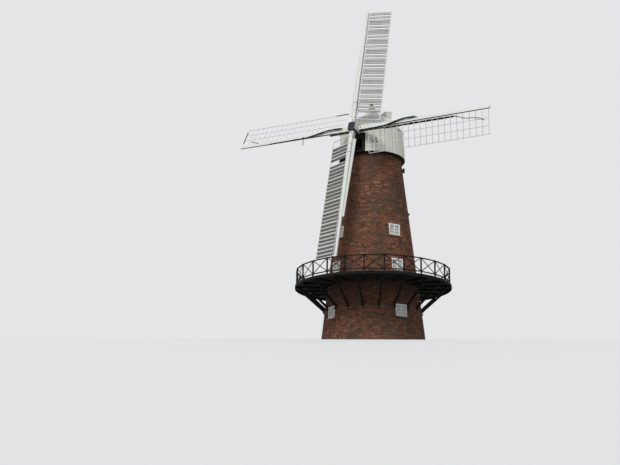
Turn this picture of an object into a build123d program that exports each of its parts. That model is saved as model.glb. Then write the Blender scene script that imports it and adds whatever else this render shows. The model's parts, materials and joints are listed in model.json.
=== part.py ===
"""A brick tower windmill: timber stage, boarded ogee cap with a fantail, two shuttered and two cloth sails."""

import os
from math import asin, atan, cos, degrees, hypot, radians, sin, sqrt, tan

from build123d import *

# All lengths are in millimetres and all angles in degrees. Bearings run from the sails' side towards +X.

# Clearances
seat_gap = 0.3
shaft_gap = 0.3
joint_gap = 4.0
moving_gap = 20.0

# Brick tower
tower_height = 15240.0
base_radius = 4118.0
top_radius = 2406.0
wall_at_base = 600.0
wall_at_top = 400.0
wall_segments = 8
window_bearing = -30.0
window_rows = 4

# Windows and doors
window_width = 1040.0
window_height = 1000.0
ground_sill = 1900.0
stage_sill = 5500.0
upper_sill = 8320.0
reveal = 110.0
frame_depth = 90.0
frame_face = 70.0
glass_thickness = 8.0
sill_height = 70.0
sill_nose = 60.0
door_bearing = 195.0
door_width = 1100.0
door_height = 2050.0
door_leaf = 50.0

# Floors
ground_floor_height = 150.0
stage_floor_height = 4800.0
upper_floor_height = 7500.0
floor_thickness = 180.0

# String course
course_height = 2560.0
course_depth = 120.0
course_nose = 35.0
course_margin = 100.0

# Stage
stage_bays = 20
stage_radius = 6190.0
fascia_thickness = 50.0
fascia_depth = 200.0
deck_thickness = 50.0
joist_width = 100.0
joist_depth = 150.0
strut_width = 120.0
strut_depth = 140.0
strut_foot = 2730.0
strut_head_radius = 5900.0

# Stage railing
rail_posts = 26
rail_bearing = -48.8
rail_radius = 6080.0
post_size = 90.0
rail_height = 1250.0
top_rail_width = 120.0
top_rail_depth = 60.0
lower_rail_clear = 160.0
lower_rail_width = 60.0
lower_rail_depth = 80.0
brace_width = 60.0
brace_thickness = 26.0

# Curb and cap frame
ring_segments = 8
curb_inner = 2040.0
curb_outer = 2380.0
curb_height = 160.0
bearing_gap = 0.5
cap_ring_inner = 2000.0
cap_ring_height = 200.0
sheer_spacing = 900.0
sheer_width = 200.0
sheer_depth = 280.0
sheer_front = 2480.0
sheer_tail = 4350.0

# Petticoat and dome
petticoat_hang = 30.0
petticoat_radius = 2710.0
petticoat_top_radius = 2620.0
petticoat_height = 2330.0
petticoat_boards = 35.0
front_opening = 30.0
storm_board_height = 1610.0
eaves_nose = 20.0
eaves_thickness = 40.0
dome_foot_radius = 2350.0
dome_shell = 50.0
shoulder_radius = 878.0
shoulder_center_radius = 1500.0
shoulder_end = 68.0
sweep_radius = 3398.0
neck_radius = 250.0
finial_ball = 170.0

# Windshaft
hub_reach = 3480.0
hub_height = 17265.0
shaft_tilt = 9.41
neck_bearing = 2350.0
tail_bearing = 1900.0
neck_shaft_radius = 200.0
tail_shaft_radius = 120.0
flange_radius = 260.0
flange_thickness = 60.0
breast_beam_width = 260.0
breast_beam_depth = 400.0
breast_beam_top = 17000.0
tail_beam_width = 300.0
tail_overhang = 250.0

# Stocks and poll end
stock_width = 300.0
stock_depth = 240.0
stock_reach = 2400.0
pair_offset = 380.0
poll_width = 620.0
poll_height = 700.0
poll_front = 180.0
poll_wall = 30.0
clamp_radii = (870.0, 1540.0, 2270.0)
clamp_length = 70.0
clamp_thickness = 14.0

# Whips and weather of the sails
sail_turn = 2.54
shuttered_reach = 11190.0
cloth_reach = 11230.0
whip_start = 420.0
whip_width_heel = 320.0
whip_width_tip = 200.0
whip_depth_heel = 180.0
whip_depth_tip = 120.0
weather_heel = 20.0
weather_tip = 15.0

# Shuttered sails
shuttered_start = 1380.0
heel_bar = 720.0
shutter_bays = 10
bay_pitch = 970.0
shutters_per_bay = 3
shuttered_width = 2000.0
stile_width = 60.0
stile_depth = 45.0
inner_stile = 240.0
bar_width = 50.0
bar_depth = 40.0
shutter_width = 255.0
shutter_thickness = 20.0
shutter_open = 22.0
pivot_size = 16.0
pivot_reach = 10.0
missing_shutter = 5
leading_board_start = 1100.0
leading_board_end = 7900.0
leading_board_width = 260.0
leading_board_tip_width = 160.0
leading_board_thickness = 25.0
leading_board_cant = 35.0
leading_board_rise = 100.0

# Cloth sails
cloth_start = 1200.0
cloth_bars = 21
cloth_bar_pitch = 495.0
cloth_bar_width = 50.0
cloth_bar_depth = 35.0
uplong_places = (800.0, 1380.0, 2000.0)
uplong_width = 45.0
uplong_depth = 30.0
crossing_radius = 70.0
left_crossing = ((1000.0, -140.0), (2330.0, -170.0), (4400.0, 190.0), (8300.0, 200.0))
right_crossing = ((1200.0, -300.0), (2700.0, -230.0), (4300.0, 170.0), (5500.0, 150.0))
roll_radius = 100.0
roll_across = 250.0
roll_start = 2450.0
roll_end = 8550.0

# Fantail
fan_reach = 3100.0
fan_height = 19700.0
fan_radius = 1400.0
fan_blade_count = 6
fan_blade_start = 420.0
fan_blade_tip_width = 760.0
fan_blade_root_width = 560.0
fan_blade_thickness = 20.0
fan_pitch = 55.0
fan_turn = 1.0
fan_arm = 60.0
fan_hub_radius = 130.0
fan_hub_length = 260.0
fan_spindle_radius = 35.0
fan_post_size = 140.0
fan_brace_size = 110.0
fan_brace_tail = 150.0
fan_post_head = 160.0

# Worked-out places
batter = (base_radius - top_radius) / tower_height
deck_top = stage_floor_height
deck_low = deck_top - deck_thickness
joist_low = deck_low - joist_depth
rail_top = deck_top + rail_height
curb_top = tower_height + curb_height
cap_ring_low = curb_top + bearing_gap
cap_ring_top = cap_ring_low + cap_ring_height
sheer_top = cap_ring_top + sheer_depth
petticoat_low = curb_top - petticoat_hang
petticoat_top = petticoat_low + petticoat_height
eaves_top = petticoat_top + eaves_thickness
segment_arc = 360.0 / wall_segments
whip_front = whip_depth_heel / 2
shaft_slope = tan(radians(shaft_tilt))

os.makedirs("parts", exist_ok=True)


def wall_radius(height):
    """Outside radius of the brickwork at a height."""
    return base_radius - batter * height


def room_radius(height):
    """Inside radius of the brickwork at a height."""
    wall = wall_at_base + (wall_at_top - wall_at_base) * height / tower_height
    return wall_radius(height) - wall


def petticoat_face(height):
    """Outside radius of the petticoat at a height."""
    share = (height - petticoat_low) / petticoat_height
    return petticoat_radius + (petticoat_top_radius - petticoat_radius) * share


def outward(bearing):
    """Unit vector out from the tower's axis."""
    return Vector(sin(radians(bearing)), -cos(radians(bearing)), 0)


def along(bearing):
    """Unit vector round the tower, towards growing bearings."""
    return Vector(cos(radians(bearing)), sin(radians(bearing)), 0)


def face_plane(bearing, height=0.0, reach=0.0):
    """Plane that looks outward: x runs round the tower, y up and z outward."""
    origin = outward(bearing) * reach + Vector(0, 0, height)
    return Plane(origin=origin, x_dir=along(bearing), z_dir=outward(bearing))


def section_plane(bearing):
    """Plane of radius, as x, and height, as y, at a bearing."""
    return Plane(origin=(0, 0, 0), x_dir=outward(bearing), z_dir=-along(bearing))


def gap_arc(radius, gap):
    """Angle that a gap takes at a radius."""
    return degrees(gap / radius)


def on_ring(bearing, radius):
    """Plan position at a bearing and radius."""
    place = outward(bearing) * radius
    return (place.X, place.Y)


def ring_pieces(corners, starts, arc):
    """Add pieces of a ring to the open part: the section's corners turned through an arc from each start."""
    for start in starts:
        with BuildSketch(section_plane(start)) as section:
            with BuildLine():
                Polyline(*corners, close=True)
            make_face()
        revolve(section.sketch, axis=Axis.Z, revolution_arc=arc)


def whole_ring(corners, count, radius):
    """Add a ring cut into equal pieces with a narrow joint between them."""
    joint = gap_arc(radius, joint_gap)
    pitch = 360.0 / count
    starts = [index * pitch + joint / 2 for index in range(count)]
    ring_pieces(corners, starts, pitch - joint)


# Brick tower
wall_corners = (
    (room_radius(0), 0),
    (wall_radius(0), 0),
    (wall_radius(tower_height), tower_height),
    (room_radius(tower_height), tower_height),
)
window_bearings = [window_bearing + 90 * index for index in range(window_rows)]
sills = (ground_sill, stage_sill, upper_sill)
window_places = [(bearing, sill) for bearing in window_bearings for sill in sills]
door_sills = (ground_floor_height, stage_floor_height)

with BuildPart() as window_walls:
    ring_pieces(wall_corners, [bearing - segment_arc / 2 for bearing in window_bearings], segment_arc)
    for bearing, sill in window_places:
        with Locations(face_plane(bearing, sill)):
            Box(
                window_width,
                window_height,
                base_radius + sill_nose,
                align=(Align.CENTER, Align.MIN, Align.MIN),
                mode=Mode.SUBTRACT,
            )
window_walls.part.label = "window_walls"
export_step(window_walls.part, "parts/window_walls.step")

with BuildPart() as plain_walls:
    ring_pieces(wall_corners, [bearing + segment_arc / 2 for bearing in window_bearings], segment_arc)
    for door_sill in door_sills:
        with Locations(face_plane(door_bearing, door_sill)):
            Box(
                door_width,
                door_height,
                base_radius + sill_nose,
                align=(Align.CENTER, Align.MIN, Align.MIN),
                mode=Mode.SUBTRACT,
            )
plain_walls.part.label = "plain_walls"
export_step(plain_walls.part, "parts/plain_walls.step")

# String course, broken at the ground floor windows
course_top = course_height + course_depth
course_low_face = wall_radius(course_height) + seat_gap
course_corners = (
    (course_low_face, course_height),
    (course_low_face + course_nose, course_height),
    (course_low_face + course_nose, course_top),
    (wall_radius(course_top) + seat_gap, course_top),
)
course_break = degrees(asin((window_width / 2 + course_margin) / course_low_face))
with BuildPart() as string_course:
    ring_pieces(
        course_corners,
        [bearing + course_break for bearing in window_bearings],
        90 - 2 * course_break,
    )
string_course.part.label = "string_course"
export_step(string_course.part, "parts/string_course.step")


# Floors
def floor_disc(top, thickness):
    """Add a floor that fills the tower between two heights."""
    low = top - thickness
    with BuildSketch(section_plane(0)) as section:
        with BuildLine():
            Polyline(
                (0, low),
                (room_radius(low) - seat_gap, low),
                (room_radius(top) - seat_gap, top),
                (0, top),
                close=True,
            )
        make_face()
    revolve(section.sketch, axis=Axis.Z)


with BuildPart() as ground_floor:
    floor_disc(ground_floor_height, ground_floor_height)
ground_floor.part.label = "ground_floor"
export_step(ground_floor.part, "parts/ground_floor.step")

with BuildPart() as stage_floor:
    floor_disc(stage_floor_height, floor_thickness)
stage_floor.part.label = "stage_floor"
export_step(stage_floor.part, "parts/stage_floor.step")

with BuildPart() as upper_floor:
    floor_disc(upper_floor_height, floor_thickness)
upper_floor.part.label = "upper_floor"
export_step(upper_floor.part, "parts/upper_floor.step")


# Windows
def frame_reach(sill):
    """Distance of a window frame's outer face from the axis."""
    return wall_radius(sill) - reveal


frame_width = window_width - 2 * seat_gap
frame_height = window_height - sill_height - 2 * seat_gap
pane_width = frame_width - 2 * frame_face
pane_height = frame_height - 2 * frame_face

with BuildPart() as window_frames:
    for bearing, sill in window_places:
        middle = sill + sill_height + seat_gap + frame_height / 2
        with BuildSketch(face_plane(bearing, middle, frame_reach(sill) - frame_depth)):
            Rectangle(frame_width, frame_height)
            Rectangle(pane_width, pane_height, mode=Mode.SUBTRACT)
        extrude(amount=frame_depth)
window_frames.part.label = "window_frames"
export_step(window_frames.part, "parts/window_frames.step")

with BuildPart() as window_glass:
    for bearing, sill in window_places:
        middle = sill + sill_height + seat_gap + frame_height / 2
        back = frame_reach(sill) - (frame_depth + glass_thickness) / 2
        with BuildSketch(face_plane(bearing, middle, back)):
            Rectangle(pane_width, pane_height)
        extrude(amount=glass_thickness)
window_glass.part.label = "window_glass"
export_step(window_glass.part, "parts/window_glass.step")

with BuildPart() as window_sills:
    for bearing, sill in window_places:
        back = frame_reach(sill) - frame_depth
        with Locations(face_plane(bearing, sill + seat_gap, back)):
            Box(
                frame_width,
                sill_height - seat_gap,
                frame_depth + reveal + sill_nose,
                align=(Align.CENTER, Align.MIN, Align.MIN),
            )
window_sills.part.label = "window_sills"
export_step(window_sills.part, "parts/window_sills.step")

# Doors
leaf_width = door_width - 2 * (frame_face + seat_gap)
leaf_height = door_height - frame_face - 2 * seat_gap

with BuildPart() as door_frames:
    for door_sill in door_sills:
        back = wall_radius(door_sill) - reveal - 2 * frame_depth
        middle = door_sill + door_height / 2
        with BuildSketch(face_plane(door_bearing, middle, back)):
            Rectangle(door_width - 2 * seat_gap, door_height - 2 * seat_gap)
            with Locations((0, -frame_face / 2)):
                Rectangle(leaf_width + 2 * seat_gap, door_height - frame_face, mode=Mode.SUBTRACT)
        extrude(amount=frame_depth)
door_frames.part.label = "door_frames"
export_step(door_frames.part, "parts/door_frames.step")

with BuildPart() as door_leaves:
    for door_sill in door_sills:
        back = wall_radius(door_sill) - reveal - 2 * frame_depth
        with Locations(face_plane(door_bearing, door_sill + seat_gap, back)):
            Box(
                leaf_width,
                leaf_height,
                door_leaf,
                align=(Align.CENTER, Align.MIN, Align.MIN),
            )
door_leaves.part.label = "door_leaves"
export_step(door_leaves.part, "parts/door_leaves.step")

# Stage: deck boards, fascia, joists and raking struts
bay_arc = 360.0 / stage_bays
joist_bearings = [window_bearing + bay_arc * (index + 0.5) for index in range(stage_bays)]
deck_radius = stage_radius - fascia_thickness
deck_joint = gap_arc(stage_radius, joint_gap)
deck_starts = [bearing + deck_joint / 2 for bearing in joist_bearings]
deck_corners = (
    (wall_radius(deck_low) + seat_gap, deck_low),
    (deck_radius, deck_low),
    (deck_radius, deck_top),
    (wall_radius(deck_low) + seat_gap, deck_top),
)
fascia_corners = (
    (deck_radius, deck_top - fascia_depth),
    (stage_radius, deck_top - fascia_depth),
    (stage_radius, deck_top),
    (deck_radius, deck_top),
)

with BuildPart() as stage_deck:
    ring_pieces(deck_corners, deck_starts, bay_arc - deck_joint)
stage_deck.part.label = "stage_deck"
export_step(stage_deck.part, "parts/stage_deck.step")

with BuildPart() as stage_fascia:
    ring_pieces(fascia_corners, deck_starts, bay_arc - deck_joint)
stage_fascia.part.label = "stage_fascia"
export_step(stage_fascia.part, "parts/stage_fascia.step")

joist_back = wall_radius(joist_low) + seat_gap
joist_end = sqrt(deck_radius**2 - (joist_width / 2) ** 2) - seat_gap
with BuildPart() as stage_joists:
    for bearing in joist_bearings:
        with Locations(face_plane(bearing, joist_low, joist_back)):
            Box(
                joist_width,
                joist_depth,
                joist_end - joist_back,
                align=(Align.CENTER, Align.MIN, Align.MIN),
            )
stage_joists.part.label = "stage_joists"
export_step(stage_joists.part, "parts/stage_joists.step")

foot_reach = wall_radius(strut_foot) + seat_gap
strut_angle = atan((joist_low - strut_foot) / (strut_head_radius - foot_reach))
strut_rise = strut_depth / cos(strut_angle)
strut_run = strut_depth / sin(strut_angle)
heel_top = strut_foot + strut_rise
with BuildPart() as stage_struts:
    for bearing in joist_bearings:
        with BuildSketch(section_plane(bearing)):
            with BuildLine():
                Polyline(
                    (foot_reach, strut_foot),
                    (strut_head_radius, joist_low),
                    (strut_head_radius - strut_run, joist_low),
                    (wall_radius(heel_top) + seat_gap, heel_top),
                    close=True,
                )
            make_face()
        extrude(amount=strut_width / 2, both=True)
stage_struts.part.label = "stage_struts"
export_step(stage_struts.part, "parts/stage_struts.step")

# Stage railing
rail_arc = 360.0 / rail_posts
post_bearings = [rail_bearing + rail_arc * index for index in range(rail_posts)]
bay_bearings = [bearing + rail_arc / 2 for bearing in post_bearings]
post_height = rail_height - top_rail_depth
lower_rail_low = deck_top + lower_rail_clear
lower_rail_top = lower_rail_low + lower_rail_depth


def rail_lengths(low, depth, width, end_gap):
    """Add one straight length of rail to each bay, between two heights."""
    trim = gap_arc(rail_radius, end_gap)
    inner = rail_radius - width / 2
    outer = rail_radius + width / 2
    for bearing in post_bearings:
        first = bearing + trim
        last = bearing + rail_arc - trim
        with BuildSketch(Plane.XY.offset(low)) as outline:
            with BuildLine():
                Polyline(
                    on_ring(first, inner),
                    on_ring(first, outer),
                    on_ring(last, outer),
                    on_ring(last, inner),
                    close=True,
                )
            make_face()
        extrude(outline.sketch, amount=depth)


with BuildPart() as stage_posts:
    for bearing in post_bearings:
        with Locations(face_plane(bearing, deck_top, rail_radius)):
            Box(post_size, post_height, post_size, align=(Align.CENTER, Align.MIN, Align.CENTER))
stage_posts.part.label = "stage_posts"
export_step(stage_posts.part, "parts/stage_posts.step")

with BuildPart() as top_rail:
    rail_lengths(rail_top - top_rail_depth, top_rail_depth, top_rail_width, joint_gap / 2)
top_rail.part.label = "top_rail"
export_step(top_rail.part, "parts/top_rail.step")

with BuildPart() as lower_rail:
    rail_lengths(lower_rail_low, lower_rail_depth, lower_rail_width, post_size / 2 + seat_gap)
lower_rail.part.label = "lower_rail"
export_step(lower_rail.part, "parts/lower_rail.step")

brace_bay = 2 * rail_radius * sin(radians(rail_arc / 2)) - post_size - 2 * joint_gap
brace_rise = rail_top - top_rail_depth - lower_rail_top - 2 * seat_gap
brace_angle = degrees(atan(brace_rise / brace_bay))
brace_length = hypot(brace_bay, brace_rise) + brace_width
brace_middle = lower_rail_top + seat_gap + brace_rise / 2
with BuildPart() as rail_braces:
    for bearing in bay_bearings:
        reach = rail_radius * cos(radians(rail_arc / 2))
        with BuildSketch(face_plane(bearing, brace_middle, reach)):
            Rectangle(brace_length, brace_width, rotation=brace_angle)
            Rectangle(brace_length, brace_width, rotation=-brace_angle)
            Rectangle(brace_bay, brace_rise, mode=Mode.INTERSECT)
        extrude(amount=brace_thickness / 2, both=True)
rail_braces.part.label = "rail_braces"
export_step(rail_braces.part, "parts/rail_braces.step")

# Curb on the tower, and the cap ring that turns on it
curb_corners = (
    (curb_inner, tower_height),
    (curb_outer, tower_height),
    (curb_outer, curb_top),
    (curb_inner, curb_top),
)
with BuildPart() as curb:
    whole_ring(curb_corners, ring_segments, curb_outer)
curb.part.label = "curb"
export_step(curb.part, "parts/curb.step")

cap_ring_corners = (
    (cap_ring_inner, cap_ring_low),
    (petticoat_face(cap_ring_low) - petticoat_boards - seat_gap, cap_ring_low),
    (petticoat_face(cap_ring_top) - petticoat_boards - seat_gap, cap_ring_top),
    (cap_ring_inner, cap_ring_top),
)
with BuildPart() as cap_ring:
    whole_ring(cap_ring_corners, ring_segments, petticoat_radius)
cap_ring.part.label = "cap_ring"
export_step(cap_ring.part, "parts/cap_ring.step")

# Cap frame
shaft_direction = Vector(0, -cos(radians(shaft_tilt)), sin(radians(shaft_tilt)))
hub = Vector(0, -hub_reach, hub_height)


def shaft_plane(offset=0.0):
    """Plane across the windshaft, looking forward, at an offset ahead of the hub."""
    return Plane(origin=hub + shaft_direction * offset, x_dir=(1, 0, 0), z_dir=shaft_direction)


def shaft_height(place):
    """Height of the windshaft's axis at a place along Y."""
    return hub_height - (place + hub_reach) * shaft_slope


def shaft_hole(radius, reach):
    """Cut the windshaft's hole through the open part, as far as a reach behind the hub."""
    with Locations(shaft_plane()):
        Cylinder(radius, 2 * reach, mode=Mode.SUBTRACT)


with BuildPart() as sheers:
    for side in (-1, 1):
        with Locations((side * sheer_spacing / 2, (sheer_tail - sheer_front) / 2, cap_ring_top)):
            Box(
                sheer_width,
                sheer_tail + sheer_front,
                sheer_depth,
                align=(Align.CENTER, Align.CENTER, Align.MIN),
            )
sheers.part.label = "sheers"
export_step(sheers.part, "parts/sheers.step")

breast_length = sheer_spacing + sheer_width
breast_beam_low = breast_beam_top - breast_beam_depth
with BuildPart() as shaft_frames:
    with Locations((0, -neck_bearing, breast_beam_low)):
        Box(
            breast_length,
            breast_beam_width,
            breast_beam_depth,
            align=(Align.CENTER, Align.CENTER, Align.MIN),
        )
    for side in (-1, 1):
        with Locations((side * sheer_spacing / 2, -neck_bearing, sheer_top)):
            Box(
                sheer_width,
                breast_beam_width,
                breast_beam_low - sheer_top,
                align=(Align.CENTER, Align.CENTER, Align.MIN),
            )
    shaft_hole(neck_shaft_radius + shaft_gap, hub_reach)
    with Locations((0, tail_bearing, sheer_top)):
        Box(
            breast_length,
            tail_beam_width,
            shaft_height(tail_bearing) - sheer_top,
            align=(Align.CENTER, Align.CENTER, Align.MIN),
        )
    shaft_hole(tail_shaft_radius + shaft_gap, hub_reach + sheer_tail)
shaft_frames.part.label = "shaft_frames"
export_step(shaft_frames.part, "parts/shaft_frames.step")

# Petticoat, open below the windshaft, with the storm board above that opening
panel_joint = gap_arc(petticoat_radius, joint_gap)
panel_arc = (360.0 - front_opening) / ring_segments
panel_starts = [front_opening / 2 + panel_arc * index + panel_joint / 2 for index in range(ring_segments)]


def petticoat_corners(low, high):
    """Section of the petticoat's boards between two heights."""
    return (
        (petticoat_face(low) - petticoat_boards, low),
        (petticoat_face(low), low),
        (petticoat_face(high), high),
        (petticoat_face(high) - petticoat_boards, high),
    )


storm_low = petticoat_low + storm_board_height
storm_start = panel_joint / 2 - front_opening / 2
with BuildPart() as petticoat:
    ring_pieces(petticoat_corners(petticoat_low, petticoat_top), panel_starts, panel_arc - panel_joint)
    ring_pieces(
        petticoat_corners(storm_low, petticoat_top),
        [storm_start],
        front_opening - panel_joint,
    )
    shaft_hole(neck_shaft_radius + moving_gap, hub_reach)
    for side in (-1, 1):
        with Locations((side * sheer_spacing / 2, 0, cap_ring_top - seat_gap)):
            Box(
                sheer_width + 2 * seat_gap,
                sheer_tail,
                sheer_depth + 2 * seat_gap,
                align=(Align.CENTER, Align.MIN, Align.MIN),
                mode=Mode.SUBTRACT,
            )
petticoat.part.label = "petticoat"
export_step(petticoat.part, "parts/petticoat.step")

eaves_corners = (
    (dome_foot_radius - dome_shell, petticoat_top),
    (petticoat_top_radius + eaves_nose, petticoat_top),
    (petticoat_top_radius + eaves_nose, eaves_top),
    (dome_foot_radius - dome_shell, eaves_top),
)
with BuildPart() as cap_eaves:
    whole_ring(eaves_corners, ring_segments, petticoat_radius)
cap_eaves.part.label = "cap_eaves"
export_step(cap_eaves.part, "parts/cap_eaves.step")

# Ogee dome: a round shoulder that sweeps up into a slender neck
shoulder_drop = sqrt(shoulder_radius**2 - (dome_foot_radius - shoulder_center_radius) ** 2)
shoulder_center = Vector(shoulder_center_radius, eaves_top + shoulder_drop)
shoulder_start = -degrees(asin(shoulder_drop / shoulder_radius))
sweep_center = shoulder_center + Vector(
    (shoulder_radius + sweep_radius) * cos(radians(shoulder_end)),
    (shoulder_radius + sweep_radius) * sin(radians(shoulder_end)),
)
neck_top = sweep_center.Y - sqrt(sweep_radius**2 - (sweep_center.X - neck_radius) ** 2)
sweep_start = shoulder_end + 180
sweep_end = degrees(atan((sweep_center.Y - neck_top) / (sweep_center.X - neck_radius))) + 180


def dome_curve(inset):
    """The shoulder and sweep, moved inward by an inset, as three-point arcs."""
    shoulder = [
        shoulder_center
        + Vector(cos(radians(angle)), sin(radians(angle))) * (shoulder_radius - inset)
        for angle in (shoulder_start, (shoulder_start + shoulder_end) / 2, shoulder_end)
    ]
    sweep = [
        sweep_center + Vector(cos(radians(angle)), sin(radians(angle))) * (sweep_radius + inset)
        for angle in (sweep_start, (sweep_start + sweep_end) / 2, sweep_end)
    ]
    return shoulder, sweep


with BuildPart() as dome:
    gore_joint = gap_arc(dome_foot_radius, joint_gap)
    gore_arc = 360.0 / ring_segments
    outer_shoulder, outer_sweep = dome_curve(0)
    inner_shoulder, inner_sweep = dome_curve(dome_shell)
    for index in range(ring_segments):
        with BuildSketch(section_plane(gore_arc * index + gore_joint / 2)):
            with BuildLine():
                ThreePointArc(*outer_shoulder)
                ThreePointArc(*outer_sweep)
                Line(outer_sweep[-1], inner_sweep[-1])
                ThreePointArc(*inner_sweep)
                ThreePointArc(*inner_shoulder)
                Line(inner_shoulder[0], outer_shoulder[0])
            make_face()
            with Locations((dome_foot_radius, eaves_top)):
                Rectangle(
                    4 * dome_shell,
                    4 * dome_shell,
                    align=(Align.CENTER, Align.MAX),
                    mode=Mode.SUBTRACT,
                )
        revolve(axis=Axis.Z, revolution_arc=gore_arc - gore_joint)
dome.part.label = "dome"
export_step(dome.part, "parts/dome.step")

finial_low = neck_top + seat_gap
finial_foot = neck_radius + 2 * eaves_nose
finial_middle = finial_low + 3 * finial_ball
with BuildPart() as finial:
    with BuildSketch(section_plane(0)):
        with BuildLine():
            Polyline(
                (0, finial_low),
                (finial_foot, finial_low),
                (finial_foot, finial_low + eaves_thickness),
                (finial_ball / 2, finial_middle - finial_ball),
                (finial_ball / 2, finial_middle),
                (finial_ball / 4, finial_middle + 2 * finial_ball),
                (0, finial_middle + 2 * finial_ball),
                close=True,
            )
        make_face()
    revolve(axis=Axis.Z)
    with Locations((0, 0, finial_middle)):
        Sphere(finial_ball)
finial.part.label = "finial"
export_step(finial.part, "parts/finial.step")

# Windshaft and poll end
poll_back = -(pair_offset + whip_front + stock_depth + poll_wall)
tail_end = -((tail_bearing + hub_reach) / cos(radians(shaft_tilt)) + tail_overhang)
neck_end = -((hub_reach - neck_bearing) / cos(radians(shaft_tilt)) + tail_overhang)
tail_start = tail_end + 2 * tail_overhang
shaft_section = Plane(origin=hub, x_dir=(1, 0, 0), z_dir=Vector(1, 0, 0).cross(shaft_direction))
with BuildPart() as windshaft:
    with BuildSketch(shaft_section):
        with BuildLine():
            Polyline(
                (0, poll_back),
                (flange_radius, poll_back),
                (flange_radius, poll_back - flange_thickness),
                (neck_shaft_radius, poll_back - flange_thickness),
                (neck_shaft_radius, neck_end),
                (tail_shaft_radius, tail_start),
                (tail_shaft_radius, tail_end),
                (0, tail_end),
                close=True,
            )
        make_face()
    revolve(axis=Axis(hub, shaft_direction))
windshaft.part.label = "windshaft"
export_step(windshaft.part, "parts/windshaft.step")


def sail_plane(turn, offset=0.0):
    """Plane of a sail: x runs out along the whip, y to the leading side and z forward."""
    angle = radians(turn)
    lift = Vector(0, sin(radians(shaft_tilt)), cos(radians(shaft_tilt)))
    direction = lift * cos(angle) + Vector(1, 0, 0) * sin(angle)
    return Plane(origin=hub + shaft_direction * offset, x_dir=direction, z_dir=shaft_direction)


shuttered_planes = (sail_plane(sail_turn), sail_plane(sail_turn + 180))
cloth_planes = (
    sail_plane(sail_turn + 90, -pair_offset),
    sail_plane(sail_turn + 270, -pair_offset),
)
stock_back = -(whip_front + stock_depth)
mortise_width = stock_width + 2 * seat_gap
mortise_depth = stock_depth + 2 * seat_gap

with BuildPart() as poll_end:
    with BuildSketch(sail_plane(sail_turn, poll_back)):
        Rectangle(poll_height, poll_width)
    extrude(amount=poll_front - poll_back)
    chamfer(poll_end.edges().filter_by(Axis(hub, shaft_direction)), length=2 * poll_wall)
    for plane in (shuttered_planes[0], cloth_planes[0]):
        with Locations(plane * Location((0, 0, stock_back + stock_depth / 2))):
            Box(2 * stock_reach, mortise_width, mortise_depth, mode=Mode.SUBTRACT)
poll_end.part.label = "poll_end"
export_step(poll_end.part, "parts/poll_end.step")


# Stocks, whips and clamps
def stock(plane):
    """Add a stock through the poll end, behind its whips."""
    with Locations(plane * Location((0, 0, stock_back + stock_depth / 2))):
        Box(2 * stock_reach, stock_width, stock_depth)


with BuildPart() as stocks:
    stock(shuttered_planes[0])
    stock(cloth_planes[0])
stocks.part.label = "stocks"
export_step(stocks.part, "parts/stocks.step")


def whip_share(place, reach):
    """How far along its whip a place lies, from 0 at the heel to 1 at the tip."""
    return (place - whip_start) / (reach - whip_start)


def whip_half_width(place, reach):
    """Half the whip's width at a place along it."""
    return (whip_width_heel + (whip_width_tip - whip_width_heel) * whip_share(place, reach)) / 2


def cross_plane(plane, place, height=0.0):
    """Plane across a whip at a place along it: x to the leading side, y forward."""
    origin = plane.from_local_coords(Vector(place, 0, height))
    return Plane(origin=origin, x_dir=plane.y_dir, z_dir=plane.x_dir)


def whips(planes, reach):
    """Add the pair of tapered whips, flat against their stock."""
    for plane in planes:
        with BuildSketch(cross_plane(plane, whip_start)) as heel:
            Rectangle(whip_width_heel, whip_depth_heel)
        with BuildSketch(cross_plane(plane, reach, whip_depth_tip / 2 - whip_front)) as tip:
            Rectangle(whip_width_tip, whip_depth_tip)
        loft([heel.sketch.face(), tip.sketch.face()])


with BuildPart() as shuttered_whips:
    whips(shuttered_planes, shuttered_reach)
shuttered_whips.part.label = "shuttered_whips"
export_step(shuttered_whips.part, "parts/shuttered_whips.step")

with BuildPart() as cloth_whips:
    whips(cloth_planes, cloth_reach)
cloth_whips.part.label = "cloth_whips"
export_step(cloth_whips.part, "parts/cloth_whips.step")

clamp_width = stock_width + 2 * seat_gap
clamp_bolt_width = whip_width_heel + 2 * seat_gap
clamp_depth = whip_depth_heel + stock_depth + 2 * seat_gap
clamp_middle = (whip_depth_heel - clamp_depth + 2 * seat_gap) / 2
clamp_front = whip_front + clamp_thickness + seat_gap
clamps_end = clamp_radii[-1] + clamp_length
with BuildPart() as stock_clamps:
    for plane in (*shuttered_planes, *cloth_planes):
        for radius in clamp_radii:
            with BuildSketch(cross_plane(plane, radius, clamp_middle)):
                Rectangle(clamp_bolt_width + 2 * clamp_thickness, clamp_depth + 2 * clamp_thickness)
                Rectangle(clamp_bolt_width, clamp_depth, mode=Mode.SUBTRACT)
            extrude(amount=clamp_length / 2, both=True)
stock_clamps.part.label = "stock_clamps"
export_step(stock_clamps.part, "parts/stock_clamps.step")


# Weathered sail surfaces: the slope falls evenly from heel to tip, so every bar and stile is straight
def weather_slope(place, start, end):
    """Slope of the sail at a place along the whip."""
    heel = tan(radians(weather_heel))
    tip = tan(radians(weather_tip))
    return heel + (tip - heel) * (place - start) / (end - start)


def on_sail(place, across, start, end):
    """Point of the sail's surface, across being the distance from the whip towards the trailing side."""
    return Vector(place, -across, -across * weather_slope(place, start, end))


def bar(first, last, side, width, depth, extra=0.0):
    """Add a straight bar between two points, its width lying along a side direction."""
    run = last - first
    with Locations(Plane(origin=(first + last) / 2, x_dir=run, z_dir=run.cross(side))):
        Box(run.length + extra, width, depth)


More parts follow.
